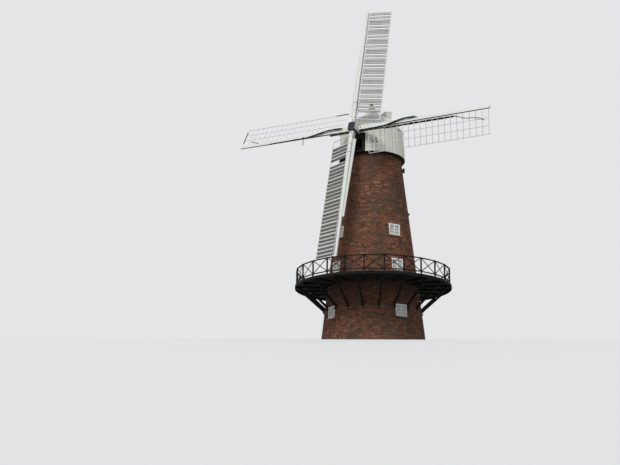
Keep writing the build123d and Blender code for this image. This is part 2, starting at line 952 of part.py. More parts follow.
def sail_grid(start, end, places, stiles, reach, stile_size, bar_size):
    """Add a sail's long stiles, and its bars from the whip out to the last stile."""
    mean_slope = weather_slope((start + end) / 2, start, end)
    for across in stiles:
        bar(
            on_sail(places[0], across, start, end),
            on_sail(places[-1], across, start, end),
            Vector(0, 1, mean_slope),
            *stile_size,
            bar_size[0],
        )
    for place in places:
        lean = bar_size[1] / 2 * weather_slope(place, start, end)
        near_side = whip_half_width(place - bar_size[0] / 2, reach) + lean + seat_gap
        bar(
            on_sail(place, near_side, start, end),
            on_sail(place, stiles[-1] + stile_size[0] / 2, start, end),
            Vector(1, 0, 0),
            *bar_size,
        )


shuttered_end = shuttered_start + shutter_bays * bay_pitch
bar_places = [heel_bar, *(shuttered_start + bay_pitch * index for index in range(shutter_bays + 1))]
with BuildPart(*shuttered_planes) as shuttered_frames:
    sail_grid(
        shuttered_start,
        shuttered_end,
        bar_places,
        (inner_stile, shuttered_width),
        shuttered_reach,
        (stile_width, stile_depth),
        (bar_width, bar_depth),
    )
shuttered_frames.part.label = "shuttered_frames"
export_step(shuttered_frames.part, "parts/shuttered_frames.step")


def shutters(plane, missing=None):
    """Add a sail's canted shutters, each hung on a pivot between the stiles."""
    count = shutter_bays * shutters_per_bay
    for number in range(count):
        if number == missing:
            continue
        place = shuttered_start + bay_pitch * (number + 0.5) / shutters_per_bay
        slope = atan(weather_slope(place, shuttered_start, shuttered_end))
        middle = (inner_stile + shuttered_width) / 2
        length = (shuttered_width - inner_stile) / cos(slope) - stile_width - 2 * pivot_reach
        trail = Vector(0, -cos(slope), -sin(slope))
        front = Vector(0, -sin(slope), cos(slope))
        cant = radians(shutter_open)
        normal = front * cos(cant) + Vector(1, 0, 0) * sin(cant)
        center = on_sail(place, middle, shuttered_start, shuttered_end)
        with Locations(plane * Plane(origin=center, x_dir=trail, z_dir=normal).location):
            Box(length, shutter_width, shutter_thickness)
            Box(length + 2 * pivot_reach - 4 * seat_gap, pivot_size, pivot_size)


with BuildPart() as upper_shutters:
    shutters(shuttered_planes[0])
upper_shutters.part.label = "upper_shutters"
export_step(upper_shutters.part, "parts/upper_shutters.step")

with BuildPart() as lower_shutters:
    shutters(shuttered_planes[1], missing_shutter - 1)
lower_shutters.part.label = "lower_shutters"
export_step(lower_shutters.part, "parts/lower_shutters.step")

# Leading boards of the shuttered sails, canted back from the whip
board_slope = tan(radians(leading_board_cant))
board_stretch = hypot(1, board_slope)
board_lean = leading_board_thickness / 2 * board_slope / board_stretch + seat_gap
board_heel = (clamp_bolt_width / 2 + clamp_thickness + board_lean) * board_stretch
board_tip = (whip_half_width(leading_board_end, shuttered_reach) + board_lean) * board_stretch
with BuildPart() as leading_boards:
    for plane in shuttered_planes:
        board_origin = plane.origin + plane.z_dir * leading_board_rise
        board_face = plane.z_dir + plane.y_dir * board_slope
        with BuildSketch(Plane(origin=board_origin, x_dir=plane.x_dir, z_dir=board_face)):
            with BuildLine():
                Polyline(
                    (leading_board_start, board_heel),
                    (leading_board_start, board_heel + leading_board_width),
                    (leading_board_end, board_tip + leading_board_tip_width),
                    (leading_board_end, board_tip),
                    (clamps_end, board_heel),
                    close=True,
                )
            make_face()
        extrude(amount=leading_board_thickness / 2, both=True)
leading_boards.part.label = "leading_boards"
export_step(leading_boards.part, "parts/leading_boards.step")


# Cloth sails: open lattices with their cloths furled
def lattice():
    """Add a cloth sail's lattice of sail bars and uplongs."""
    sail_grid(
        cloth_start,
        cloth_start + cloth_bar_pitch * (cloth_bars - 1),
        [cloth_start + cloth_bar_pitch * index for index in range(cloth_bars)],
        uplong_places,
        cloth_reach,
        (uplong_width, uplong_depth),
        (cloth_bar_width, cloth_bar_depth),
    )


with BuildPart(cloth_planes[0]) as right_lattice:
    lattice()
right_lattice.part.label = "right_lattice"
export_step(right_lattice.part, "parts/right_lattice.step")

with BuildPart(cloth_planes[1]) as left_lattice:
    lattice()
left_lattice.part.label = "left_lattice"
export_step(left_lattice.part, "parts/left_lattice.step")


def furled_cloth(points, radius):
    """Add a furled cloth along a bent line."""
    with BuildLine() as path:
        Polyline(*points)
    with BuildSketch(Plane(origin=points[0], z_dir=points[1] - points[0])) as section:
        Circle(radius)
    sweep(section.sketch, path=path.wires()[0], transition=Transition.RIGHT)


def crossing(plane, places):
    """Add a furled cloth that crosses the front of the clamps and the whip, through places along and across."""
    points = []
    for place, across in places:
        taper = (whip_depth_heel - whip_depth_tip) * whip_share(place, cloth_reach)
        front = clamp_front if place < clamps_end else whip_front - taper
        height = front + crossing_radius + seat_gap
        points.append(plane.from_local_coords(Vector(place, across, height)))
    furled_cloth(points, crossing_radius)


def roll_behind(plane):
    """Add a furled cloth tied behind the sail bars, beside the whip."""
    end = cloth_start + cloth_bar_pitch * (cloth_bars - 1)
    points = []
    for place in (roll_start, roll_end):
        slope = weather_slope(place, cloth_start, end)
        back = Vector(0, slope, -1).normalized() * (cloth_bar_depth / 2 + roll_radius + seat_gap)
        points.append(plane.from_local_coords(on_sail(place, roll_across, cloth_start, end) + back))
    furled_cloth(points, roll_radius)


with BuildPart() as left_cloth:
    crossing(cloth_planes[1], left_crossing)
left_cloth.part.label = "left_cloth"
export_step(left_cloth.part, "parts/left_cloth.step")

with BuildPart() as right_cloth:
    crossing(cloth_planes[0], right_crossing)
right_cloth.part.label = "right_cloth"
export_step(right_cloth.part, "parts/right_cloth.step")

with BuildPart() as right_roll:
    roll_behind(cloth_planes[0])
right_roll.part.label = "right_roll"
export_step(right_roll.part, "parts/right_roll.step")

# Fantail
fan_center = Vector(0, fan_reach, fan_height)


def fan_plane(turn):
    """Plane of one fan arm: x runs out along the arm, y and z lie across it at the blade's pitch."""
    angle = radians(turn)
    direction = Vector(0, sin(angle), cos(angle))
    sideways = Vector(1, 0, 0).cross(direction)
    pitch = radians(fan_pitch)
    normal = Vector(1, 0, 0) * cos(pitch) + sideways * sin(pitch)
    return Plane(origin=fan_center, x_dir=direction, z_dir=normal)


fan_planes = [fan_plane(fan_turn + 360.0 / fan_blade_count * index) for index in range(fan_blade_count)]
bearing_length = sheer_spacing + fan_post_size

with BuildPart() as fan_hub:
    with Locations(Plane(origin=fan_center, z_dir=(1, 0, 0))):
        Cylinder(fan_hub_radius, fan_hub_length)
        Cylinder(fan_spindle_radius, bearing_length)
    for plane in fan_planes:
        with Locations(plane.location):
            Box(
                fan_radius - fan_post_size,
                fan_arm,
                fan_arm,
                align=(Align.MIN, Align.CENTER, Align.CENTER),
            )
fan_hub.part.label = "fan_hub"
export_step(fan_hub.part, "parts/fan_hub.step")

with BuildPart() as fan_blades:
    for plane in fan_planes:
        with BuildSketch(plane.offset(fan_arm / 2)):
            with BuildLine():
                Polyline(
                    (fan_blade_start, -fan_blade_root_width / 2),
                    (fan_radius, -fan_blade_tip_width / 2),
                    (fan_radius, fan_blade_tip_width / 2),
                    (fan_blade_start, fan_blade_root_width / 2),
                    close=True,
                )
            make_face()
        extrude(amount=fan_blade_thickness)
fan_blades.part.label = "fan_blades"
export_step(fan_blades.part, "parts/fan_blades.step")

fan_head = fan_height + fan_post_head
fan_brace_foot = sheer_tail - fan_brace_tail
fan_brace_top = fan_height - fan_radius
with BuildPart() as fan_frame:
    for side in (-1, 1):
        across = side * sheer_spacing / 2
        with Locations((across, fan_reach, sheer_top)):
            Box(
                fan_post_size,
                fan_post_size,
                fan_head - sheer_top,
                align=(Align.CENTER, Align.CENTER, Align.MIN),
            )
        with BuildSketch(Plane.YZ.offset(across)):
            with BuildLine():
                Polyline(
                    (fan_brace_foot, sheer_top),
                    (fan_brace_foot - fan_brace_size, sheer_top),
                    (fan_reach, fan_brace_top - fan_brace_size),
                    (fan_reach, fan_brace_top + fan_brace_size),
                    close=True,
                )
            make_face()
        extrude(amount=fan_brace_size / 2, both=True)
    for height in (sheer_top + fan_post_size, fan_brace_top - 2 * fan_brace_size):
        with Locations((0, fan_reach, height)):
            Box(
                sheer_spacing,
                fan_brace_size,
                fan_brace_size,
                align=(Align.CENTER, Align.CENTER, Align.MIN),
            )
    with Locations(Plane(origin=fan_center, z_dir=(1, 0, 0))):
        Cylinder(fan_spindle_radius + shaft_gap, 2 * bearing_length, mode=Mode.SUBTRACT)
fan_frame.part.label = "fan_frame"
export_step(fan_frame.part, "parts/fan_frame.step")
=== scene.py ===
"""Looks of the tower windmill: brickwork, boards, bars, cloth and paint around the fixed CAD frame."""

import json
import logging
import math
from dataclasses import dataclass
from enum import Enum

import bpy
import numpy as np
from mathutils import Matrix, Vector

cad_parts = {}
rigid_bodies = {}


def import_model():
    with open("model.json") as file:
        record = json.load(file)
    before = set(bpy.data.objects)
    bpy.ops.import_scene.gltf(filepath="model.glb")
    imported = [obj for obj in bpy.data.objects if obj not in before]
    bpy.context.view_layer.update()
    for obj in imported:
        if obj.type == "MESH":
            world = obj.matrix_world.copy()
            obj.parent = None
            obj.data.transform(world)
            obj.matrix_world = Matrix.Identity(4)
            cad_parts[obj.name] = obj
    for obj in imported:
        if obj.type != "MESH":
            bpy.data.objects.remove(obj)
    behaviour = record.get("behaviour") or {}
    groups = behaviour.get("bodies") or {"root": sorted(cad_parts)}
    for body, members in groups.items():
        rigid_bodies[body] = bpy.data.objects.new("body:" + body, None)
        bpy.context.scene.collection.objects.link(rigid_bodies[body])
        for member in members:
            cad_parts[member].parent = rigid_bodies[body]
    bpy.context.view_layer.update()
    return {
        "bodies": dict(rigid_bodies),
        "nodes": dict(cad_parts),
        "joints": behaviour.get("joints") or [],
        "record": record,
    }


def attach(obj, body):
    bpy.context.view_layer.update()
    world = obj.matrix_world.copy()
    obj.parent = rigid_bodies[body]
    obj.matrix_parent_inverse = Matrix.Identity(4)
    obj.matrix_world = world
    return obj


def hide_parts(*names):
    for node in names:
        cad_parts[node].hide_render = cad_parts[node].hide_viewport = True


Pair = tuple[float, float]
Triple = tuple[float, float, float]
Colour = tuple[float, float, float]

LOG = logging.getLogger("windmill")
TAU = 2 * math.pi
RIGHT = Vector((1, 0, 0))
UP = Vector((0, 0, 1))

BLOCK_FACES = np.array(
    ((0, 3, 2, 1), (4, 5, 6, 7), (0, 1, 5, 4), (1, 2, 6, 5), (2, 3, 7, 6), (3, 0, 4, 7))
)
STEEP = 0.9
NUT_SIDES = 6


class Body(Enum):
    """The rigid bodies of the mill."""

    TOWER = "tower"
    CAP = "cap"
    SAILS = "sails"
    FAN = "fan"


class Bond(Enum):
    """How a course of bricks is laid: the length of each brick in turn."""

    FLEMISH = (0.215, 0.1025)
    HEADERS = (0.1025,)


def outward(bearing: float) -> Vector:
    """Unit vector out from the tower's axis, at a bearing in degrees from the sails' side."""
    angle = math.radians(bearing)
    return Vector((math.sin(angle), -math.cos(angle), 0))


def along(bearing: float) -> Vector:
    """Unit vector round the tower, towards growing bearings."""
    angle = math.radians(bearing)
    return Vector((math.cos(angle), math.sin(angle), 0))


def spoke(angle: float) -> Vector:
    """Unit vector in a plane, at an angle in degrees."""
    turn = math.radians(angle)
    return Vector((math.cos(turn), math.sin(turn)))


def frame_from(axes: tuple[Vector, Vector, Vector], place: Vector) -> Matrix:
    """Builds the matrix from a piece's own frame to the mill's.

    Args:
        axes: the frame's three unit vectors.
        place: its origin.

    Returns:
        The matrix.
    """
    frame = Matrix(axes).transposed().to_4x4()
    frame.translation = place
    return frame


def wall_frame(bearing: float, reach: float, height: float) -> Matrix:
    """Frame on the tower or the cap: x round it, y up and z outward."""
    out = outward(bearing)
    return frame_from((along(bearing), UP, out), out * reach + UP * height)


def arc_round(bearing: float, half: float, radius: float) -> Pair:
    """Bearings where a stretch of wall starts and ends, half its width to each side of a bearing."""
    spread = math.degrees(math.asin(half / radius))
    return (bearing - spread) % 360, (bearing + spread) % 360


@dataclass(frozen=True)
class Mill:
    """The mill's driving sizes, in metres and degrees."""

    tower_height: float = 15.24
    base_radius: float = 4.118
    top_radius: float = 2.406
    window_bearing: float = -30.0
    window_width: float = 1.04
    window_height: float = 1.0
    sill_levels: Triple = (1.9, 5.5, 8.32)
    sill_height: float = 0.07
    reveal: float = 0.11
    frame_depth: float = 0.09
    frame_face: float = 0.07
    door_bearing: float = 195.0
    door_width: float = 1.1
    door_height: float = 2.05
    door_levels: Pair = (0.15, 4.8)
    course_low: float = 2.56
    course_high: float = 2.68
    deck_top: float = 4.8
    deck_thickness: float = 0.05
    deck_radius: float = 6.14
    stage_bays: int = 20
    petticoat_low: float = 15.37
    petticoat_top: float = 17.7
    petticoat_radius: float = 2.71
    petticoat_top_radius: float = 2.62
    eaves_top: float = 17.74
    dome_foot_radius: float = 2.35
    hub_reach: float = 3.48
    hub_height: float = 17.265
    shaft_tilt: float = 9.41
    sail_turn: float = 2.54
    pair_offset: float = 0.38
    whip_start: float = 0.42
    whip_depth_heel: float = 0.18
    whip_depth_tip: float = 0.12
    clamp_front: float = 0.1043
    clamps_end: float = 2.34
    shuttered_reach: float = 11.19
    shuttered_start: float = 1.38
    shuttered_end: float = 11.08
    cloth_reach: float = 11.23
    cloth_start: float = 1.2
    cloth_end: float = 11.1
    weather_heel: float = 20.0
    weather_tip: float = 15.0
    seat: float = 0.0003

    def wall_radius(self, height: float) -> float:
        """Outside radius of the brickwork at a height."""
        return self.base_radius - (self.base_radius - self.top_radius) * height / self.tower_height

    def petticoat_face(self, height: float) -> float:
        """Outside radius of the petticoat at a height."""
        share = (height - self.petticoat_low) / (self.petticoat_top - self.petticoat_low)
        return self.petticoat_radius + (self.petticoat_top_radius - self.petticoat_radius) * share

    def window_bearings(self) -> list[float]:
        """Bearings of the four rows of windows."""
        return [self.window_bearing + 90 * row for row in range(4)]

    def shaft_direction(self) -> Vector:
        """Unit vector forward along the windshaft."""
        tilt = math.radians(self.shaft_tilt)
        return Vector((0, -math.cos(tilt), math.sin(tilt)))

    def shaft_height(self, place: float) -> float:
        """Height of the windshaft's axis at a place along Y."""
        return self.hub_height - (place + self.hub_reach) * math.tan(math.radians(self.shaft_tilt))

    def sail_frame(self, turn: float, offset: float = 0.0) -> Matrix:
        """Matrix from a sail's own frame to the mill's.

        Args:
            turn: how far the sail is turned from upright, in degrees.
            offset: distance of the whip's plane ahead of the hub.

        Returns:
            A matrix whose x runs out along the whip, y to the leading side and z forward.
        """
        forward = self.shaft_direction()
        tilt = math.radians(self.shaft_tilt)
        lift = Vector((0, math.sin(tilt), math.cos(tilt)))
        angle = math.radians(turn)
        out = lift * math.cos(angle) + RIGHT * math.sin(angle)
        hub = Vector((0, -self.hub_reach, self.hub_height))
        return frame_from((out, forward.cross(out), forward), hub + forward * offset)

    def whip_front(self, place: float, reach: float) -> float:
        """Height of a whip's front face above its plane, at a place along it."""
        share = (place - self.whip_start) / (reach - self.whip_start)
        return self.whip_depth_heel / 2 - (self.whip_depth_heel - self.whip_depth_tip) * share

    def weather(self, place: float, start: float, end: float) -> float:
        """Slope of a sail's surface at a place along it, back towards the trailing side."""
        heel, tip = (math.tan(math.radians(angle)) for angle in (self.weather_heel, self.weather_tip))
        return heel + (tip - heel) * (place - start) / (end - start)

    def shutter_weather(self, place: float) -> float:
        """Slope of a shuttered sail at a place along it."""
        return self.weather(place, self.shuttered_start, self.shuttered_end)

    def cloth_weather(self, place: float) -> float:
        """Slope of an open sail's lattice at a place along it."""
        return self.weather(place, self.cloth_start, self.cloth_end)


MILL = Mill()


class Value:
    """A shader socket that takes part in Python arithmetic."""

    def __init__(self, shader: "Shader", socket: bpy.types.NodeSocket) -> None:
        """Keeps the socket and the shader that it belongs to."""
        self.shader = shader
        self.socket = socket

    def _math(self, operation: str, *values: "Value | float") -> "Value":
        """Adds one Math node and returns its result."""
        return self.shader.node("ShaderNodeMath", {"operation": operation}, dict(enumerate(values)))

    def __add__(self, other: "Value | float") -> "Value":
        """Sum."""
        return self._math("ADD", self, other)

    __radd__ = __add__

    def __sub__(self, other: "Value | float") -> "Value":
        """Difference."""
        return self._math("SUBTRACT", self, other)

    def __rsub__(self, other: "Value | float") -> "Value":
        """Difference from a plain number."""
        return self._math("SUBTRACT", other, self)

    def __mul__(self, other: "Value | float") -> "Value":
        """Product."""
        return self._math("MULTIPLY", self, other)

    __rmul__ = __mul__

    def between(self, low: float, high: float) -> "Value":
        """Share of the way from low to high, clamped to 0 and 1."""
        values = {"Value": self, "From Min": low, "From Max": high}
        return self.shader.node("ShaderNodeMapRange", {"clamp": True}, values)


@dataclass(frozen=True)
class Pattern:
    """Soft noise over a piece: its scale, the levels where it starts and is full, its stretch and detail."""

    scale: float
    start: float = 0.0
    full: float = 1.0
    stretch: Triple = (1.0, 1.0, 1.0)
    detail: float = 3.0


class Shader:
    """A node tree that is written in Python expressions."""

    def __init__(self, tree: bpy.types.NodeTree) -> None:
        """Takes a tree and empties it."""
        self.tree = tree
        self.tree.nodes.clear()

    def add(self, kind: str, settings: dict, values: dict) -> bpy.types.Node:
        """Adds a node.

        Args:
            kind: the node's type.
            settings: properties of the node; "stops" is a ramp's list of place and colour.
            values: a value or a link for each socket, by name or place.

        Returns:
            The node.
        """
        node = self.tree.nodes.new(kind)
        for name, setting in settings.items():
            if name == "stops":
                self._ramp(node.color_ramp, setting)
            else:
                setattr(node, name, setting)
        for name, value in values.items():
            self.feed(node.inputs[name], value)
        return node

    def node(self, kind: str, settings: dict, values: dict, output: int | str = 0) -> Value:
        """Adds a node, as add does, and returns one of its outputs."""
        return Value(self, self.add(kind, settings, values).outputs[output])

    def _ramp(self, ramp: bpy.types.ColorRamp, stops: list) -> None:
        """Writes a ramp's stops.

        Args:
            ramp: the ramp.
            stops: the place and colour of each stop.
        """
        while len(ramp.elements) < len(stops):
            ramp.elements.new(0.5)
        for element, (place, colour) in zip(ramp.elements, stops):
            element.position = place
            element.color = (*colour, 1)

    def feed(self, socket: bpy.types.NodeSocket, value: "Value | float | tuple") -> None:
        """Links a value to a socket, or sets it there.

        Args:
            socket: the socket.
            value: a value with a link, a number, a vector or a colour.
        """
        if isinstance(value, Value):
            self.tree.links.new(value.socket, socket)
        elif isinstance(value, tuple) and socket.type == "RGBA":
            socket.default_value = (*value[:3], 1)
        else:
            socket.default_value = value

    def pattern(self, pattern: Pattern) -> Value:
        """Adds a pattern over the piece, in its place at rest.

        Args:
            pattern: the pattern.

        Returns:
            Its level, from 0 to 1.
        """
        place = self.node("ShaderNodeTexCoord", {}, {}, "Object")
        if pattern.stretch != Pattern.stretch:
            scaled = {0: place, 1: pattern.stretch}
            place = self.node("ShaderNodeVectorMath", {"operation": "MULTIPLY"}, scaled)
        values = {"Vector": place, "Scale": pattern.scale, "Detail": pattern.detail}
        noise = self.node("ShaderNodeTexNoise", {}, values)
        if (pattern.start, pattern.full) == (Pattern.start, Pattern.full):
            return noise
        return noise.between(pattern.start, pattern.full)

    def attribute(self, name: str) -> Value:
        """A number that the mesh holds for each face."""
        return self.node("ShaderNodeAttribute", {"attribute_name": name}, {}, "Fac")

    def upward(self, coordinate: str) -> Value:
        """The Z part of a texture coordinate: Object gives the height at rest, Normal how far up it faces."""
        place = self.node("ShaderNodeTexCoord", {}, {}, coordinate)
        return self.node("ShaderNodeSeparateXYZ", {}, {0: place}, "Z")

    def ramp(self, share: Value, stops: list) -> Value:
        """A colour picked from stops."""
        return self.node("ShaderNodeValToRGB", {"stops": stops}, {"Fac": share})

    def mix(self, share: "Value | float", low: "Value | tuple", high: "Value | tuple") -> Value:
        """A colour between two colours."""
        return self.node("ShaderNodeMix", {"data_type": "RGBA"}, {0: share, 6: low, 7: high}, 2)


class Surface(Shader):
    """The node tree of one material."""

    def __init__(self, name: str) -> None:
        """Starts the material with its main shader and its output.

        Args:
            name: the material's name.
        """
        self.material = bpy.data.materials.new(name)
        self.material.use_nodes = True
        super().__init__(self.material.node_tree)
        self.main = self.add("ShaderNodeBsdfPrincipled", {}, {})
        self.add("ShaderNodeOutputMaterial", {}, {"Surface": Value(self, self.main.outputs[0])})

    def set(self, socket: str, value: "Value | float | tuple") -> None:
        """Feeds one socket of the main shader."""
        self.feed(self.main.inputs[socket], value)

    def bump(self, height: Value, relief: float) -> None:
        """Feeds a bump into the surface, as deep as the relief in metres."""
        self.set("Normal", self.node("ShaderNodeBump", {}, {"Height": height, "Distance": relief}))


@dataclass(frozen=True)
class Finish:
    """A plain finish, the base of the others.

    rougher is what the grain adds to the roughness, and relief how deep it is in metres.
    """

    name: str
    slot: str
    colour: Colour
    roughness: float = 0.6
    gloss: float = 0.15
    rougher: float = 0.0
    relief: float = 0.001

    def dress(self, surface: Surface) -> None:
        """Writes the material's nodes."""
        surface.set("Base Color", self.colour)
        surface.set("Roughness", self.roughness)

    def roughen(self, surface: Surface, grain: Value) -> None:
        """Feeds a grain into the roughness and the bump."""
        surface.set("Roughness", self.roughness + self.rougher * grain)
        surface.bump(grain, self.relief)

    def material(self) -> bpy.types.Material:
        """Gives the finish's material, made once.

        Returns:
            The material.
        """
        made = bpy.data.materials.get(self.name)
        if made is None:
            surface = Surface(self.name)
            self.dress(surface)
            surface.set("Specular IOR Level", self.gloss)
            made = surface.material
        return made


@dataclass(frozen=True)
class Brick(Finish):
    """Old hand-made brick whose tone changes from brick to brick and in broad weathered patches, with painted
    shade under the stage deck.
    """

    roughness: float = 0.82
    rougher: float = 0.12
    relief: float = 0.002
    burnt: Colour = (0.034, 0.027, 0.024)
    orange: Colour = (0.27, 0.098, 0.045)
    pale: Colour = (0.31, 0.20, 0.14)
    moss: Colour = (0.062, 0.055, 0.037)
    tones: tuple[float, ...] = (0.0, 0.34, 0.75, 0.97, 1.0)
    patches: Pattern = Pattern(0.5, 0.38, 0.6)
    streaks: Pattern = Pattern(1.2, 0.38, 0.66, (0.7, 0.7, 3.6), 5.0)
    drift: Pattern = Pattern(2.3, 0.3, 0.7, (0.9, 0.9, 2.2))
    grain: Pattern = Pattern(55.0)
    drifting: float = 0.6
    weathering_and_shade: float = 1.0
    sooted: float = 0.45
    soot_heights: Pair = (8.5, 14.0)
    mossed: float = 0.85
    # Painted shade under the stage deck: its strength, the heights where it starts and is full, and where the
    # deck stops it.
    shaded: float = 0.6
    shade_heights: Pair = (3.1, 4.5)
    deck_heights: Pair = (4.78, 4.84)
    pitted: float = 0.25
    pits: Pair = (0.4, 0.8)

    def dress(self, surface: Surface) -> None:
        """Writes the material's nodes.

        Args:
            surface: the material's tree.
        """
        colours = (self.burnt, self.colour, self.orange, self.orange, self.pale)
        patches = surface.pattern(self.patches)
        drift = self.drifting * (surface.pattern(self.drift) - 0.5)
        colour = surface.ramp(surface.attribute("tone") + drift, list(zip(self.tones, colours)))
        height = surface.upward("Object")
        soot = height.between(*self.soot_heights) * patches
        colour = surface.mix(self.weathering_and_shade * self.sooted * soot, colour, self.burnt)
        moss = patches * surface.pattern(self.streaks)
        colour = surface.mix(self.weathering_and_shade * self.mossed * moss, colour, self.moss)
        # Painted shade: the brick below the stage deck is darkened towards the moss colour.
        shade = height.between(*self.shade_heights) * (1 - height.between(*self.deck_heights))
        colour = surface.mix(self.weathering_and_shade * self.shaded * shade, colour, self.moss)
        grain = surface.pattern(self.grain)
        surface.set("Base Color", surface.mix(self.pitted * grain.between(*self.pits), colour, self.burnt))
        self.roughen(surface, grain)


@dataclass(frozen=True)
class Mortar(Finish):
    """Lime mortar or stone, dirty in places."""

    relief: float = 0.002
    dirty: Colour = (0.085, 0.06, 0.045)
    stains: Pattern = Pattern(1.3, 0.3, 0.62)
    grit: Pattern = Pattern(90.0)

    def dress(self, surface: Surface) -> None:
        """Writes the material's nodes.

        Args:
            surface: the material's tree.
        """
        surface.set("Base Color", surface.mix(surface.pattern(self.stains), self.colour, self.dirty))
        surface.set("Roughness", self.roughness)
        surface.bump(surface.pattern(self.grit), self.relief)


@dataclass(frozen=True)
class Paint(Finish):
    """Paint on timber, with run-down dirt, a fine grain and painted shade where it faces down."""

    rougher: float = 0.15
    relief: float = 0.0012
    dirty: Colour = (0.42, 0.42, 0.36)
    dirt: float = 0.5
    runs: Pattern = Pattern(2.2, 0.42, 0.78, (3.0, 3.0, 0.35))
    run_share: float = 0.65
    blotches: Pattern = Pattern(0.9, 0.45, 0.75)
    grain: Pattern = Pattern(24.0, stretch=(3.0, 3.0, 0.35))
    underside_shade_colour: Colour = (0.075, 0.075, 0.06)
    underside_shade: float = 0.0
    underside_shade_facing: Pair = (0.3, 0.75)
    boards: float = 0.0

    def dress(self, surface: Surface) -> None:
        """Writes the material's nodes.

        Args:
            surface: the material's tree.
        """
        runs = self.run_share * surface.pattern(self.runs)
        blotches = (1 - self.run_share) * surface.pattern(self.blotches)
        colour = surface.mix(self.dirt * (runs + blotches), self.colour, self.dirty)
        if self.boards:
            colour = surface.mix(self.boards * surface.attribute("tone"), colour, self.dirty)
        # Painted shade: faces that look down turn towards the shade colour.
        if self.underside_shade:
            shaded = (0 - surface.upward("Normal")).between(*self.underside_shade_facing)
            colour = surface.mix(self.underside_shade * shaded, colour, self.underside_shade_colour)
        surface.set("Base Color", colour)
        self.roughen(surface, surface.pattern(self.grain))


@dataclass(frozen=True)
class SailPaint(Paint):
    """White paint with near-black painted shade on the faces that look down."""

    underside_shade_colour: Colour = (0.035, 0.032, 0.025)
    underside_shade: float = 0.92


@dataclass(frozen=True)
class Timber(Finish):
    """Bare or tarred timber whose grain runs along one axis."""

    rougher: float = 0.2
    relief: float = 0.0015
    worn: Colour = (0.09, 0.085, 0.075)
    wear: float = 0.35
    patches: Pattern = Pattern(1.6, 0.45, 0.75)
    grain: Pattern = Pattern(38.0, stretch=(1.0, 1.0, 0.12))

    def dress(self, surface: Surface) -> None:
        """Writes the material's nodes.

        Args:
            surface: the material's tree.
        """
        grain = surface.pattern(self.grain)
        worn = self.wear * surface.pattern(self.patches) * grain
        surface.set("Base Color", surface.mix(worn, self.colour, self.worn))
        self.roughen(surface, grain)


@dataclass(frozen=True)
class Iron(Finish):
    """Painted ironwork with rust that shows through in spots."""

    gloss: float = 0.5
    rougher: float = 0.3
    rust: Colour = (0.11, 0.045, 0.02)
    rusted: float = 0.6
    metal: float = 0.5
    dulled: float = 0.4
    spots: Pattern = Pattern(7.0, 0.6, 0.72, detail=5.0)
    pits: Pattern = Pattern(60.0)

    def dress(self, surface: Surface) -> None:
        """Writes the material's nodes.

        Args:
            surface: the material's tree.
        """
        spots = surface.pattern(self.spots)
        surface.set("Base Color", surface.mix(self.rusted * spots, self.colour, self.rust))
        surface.set("Metallic", self.metal - self.dulled * spots)
        surface.set("Roughness", self.roughness + self.rougher * spots)
        surface.bump(surface.pattern(self.pits), self.relief)


@dataclass(frozen=True)
class Cloth(Finish):
    """Woven sailcloth, faded in patches."""

    faded: Colour = (0.10, 0.13, 0.10)
    fading: float = 0.6
    patches: Pattern = Pattern(2.4, 0.45, 0.8)
    threads: Pattern = Pattern(420.0)

    def dress(self, surface: Surface) -> None:
        """Writes the material's nodes.

        Args:
            surface: the material's tree.
        """
        fade = self.fading * surface.pattern(self.patches)
        surface.set("Base Color", surface.mix(fade, self.colour, self.faded))
        surface.set("Roughness", self.roughness)
        surface.bump(surface.pattern(self.threads), self.relief)


@dataclass(frozen=True)
class Glass(Finish):
    """Window glass in front of a dark room, nearly opaque, whose grey colour is a painted reflection of the
    sky.
    """

    gloss: float = 0.5
    veil: float = 0.94

    def dress(self, surface: Surface) -> None:
        """Writes the material's nodes.

        Args:
            surface: the material's tree.
        """
        super().dress(surface)
        surface.set("Alpha", self.veil)
        surface.material.surface_render_method = "BLENDED"


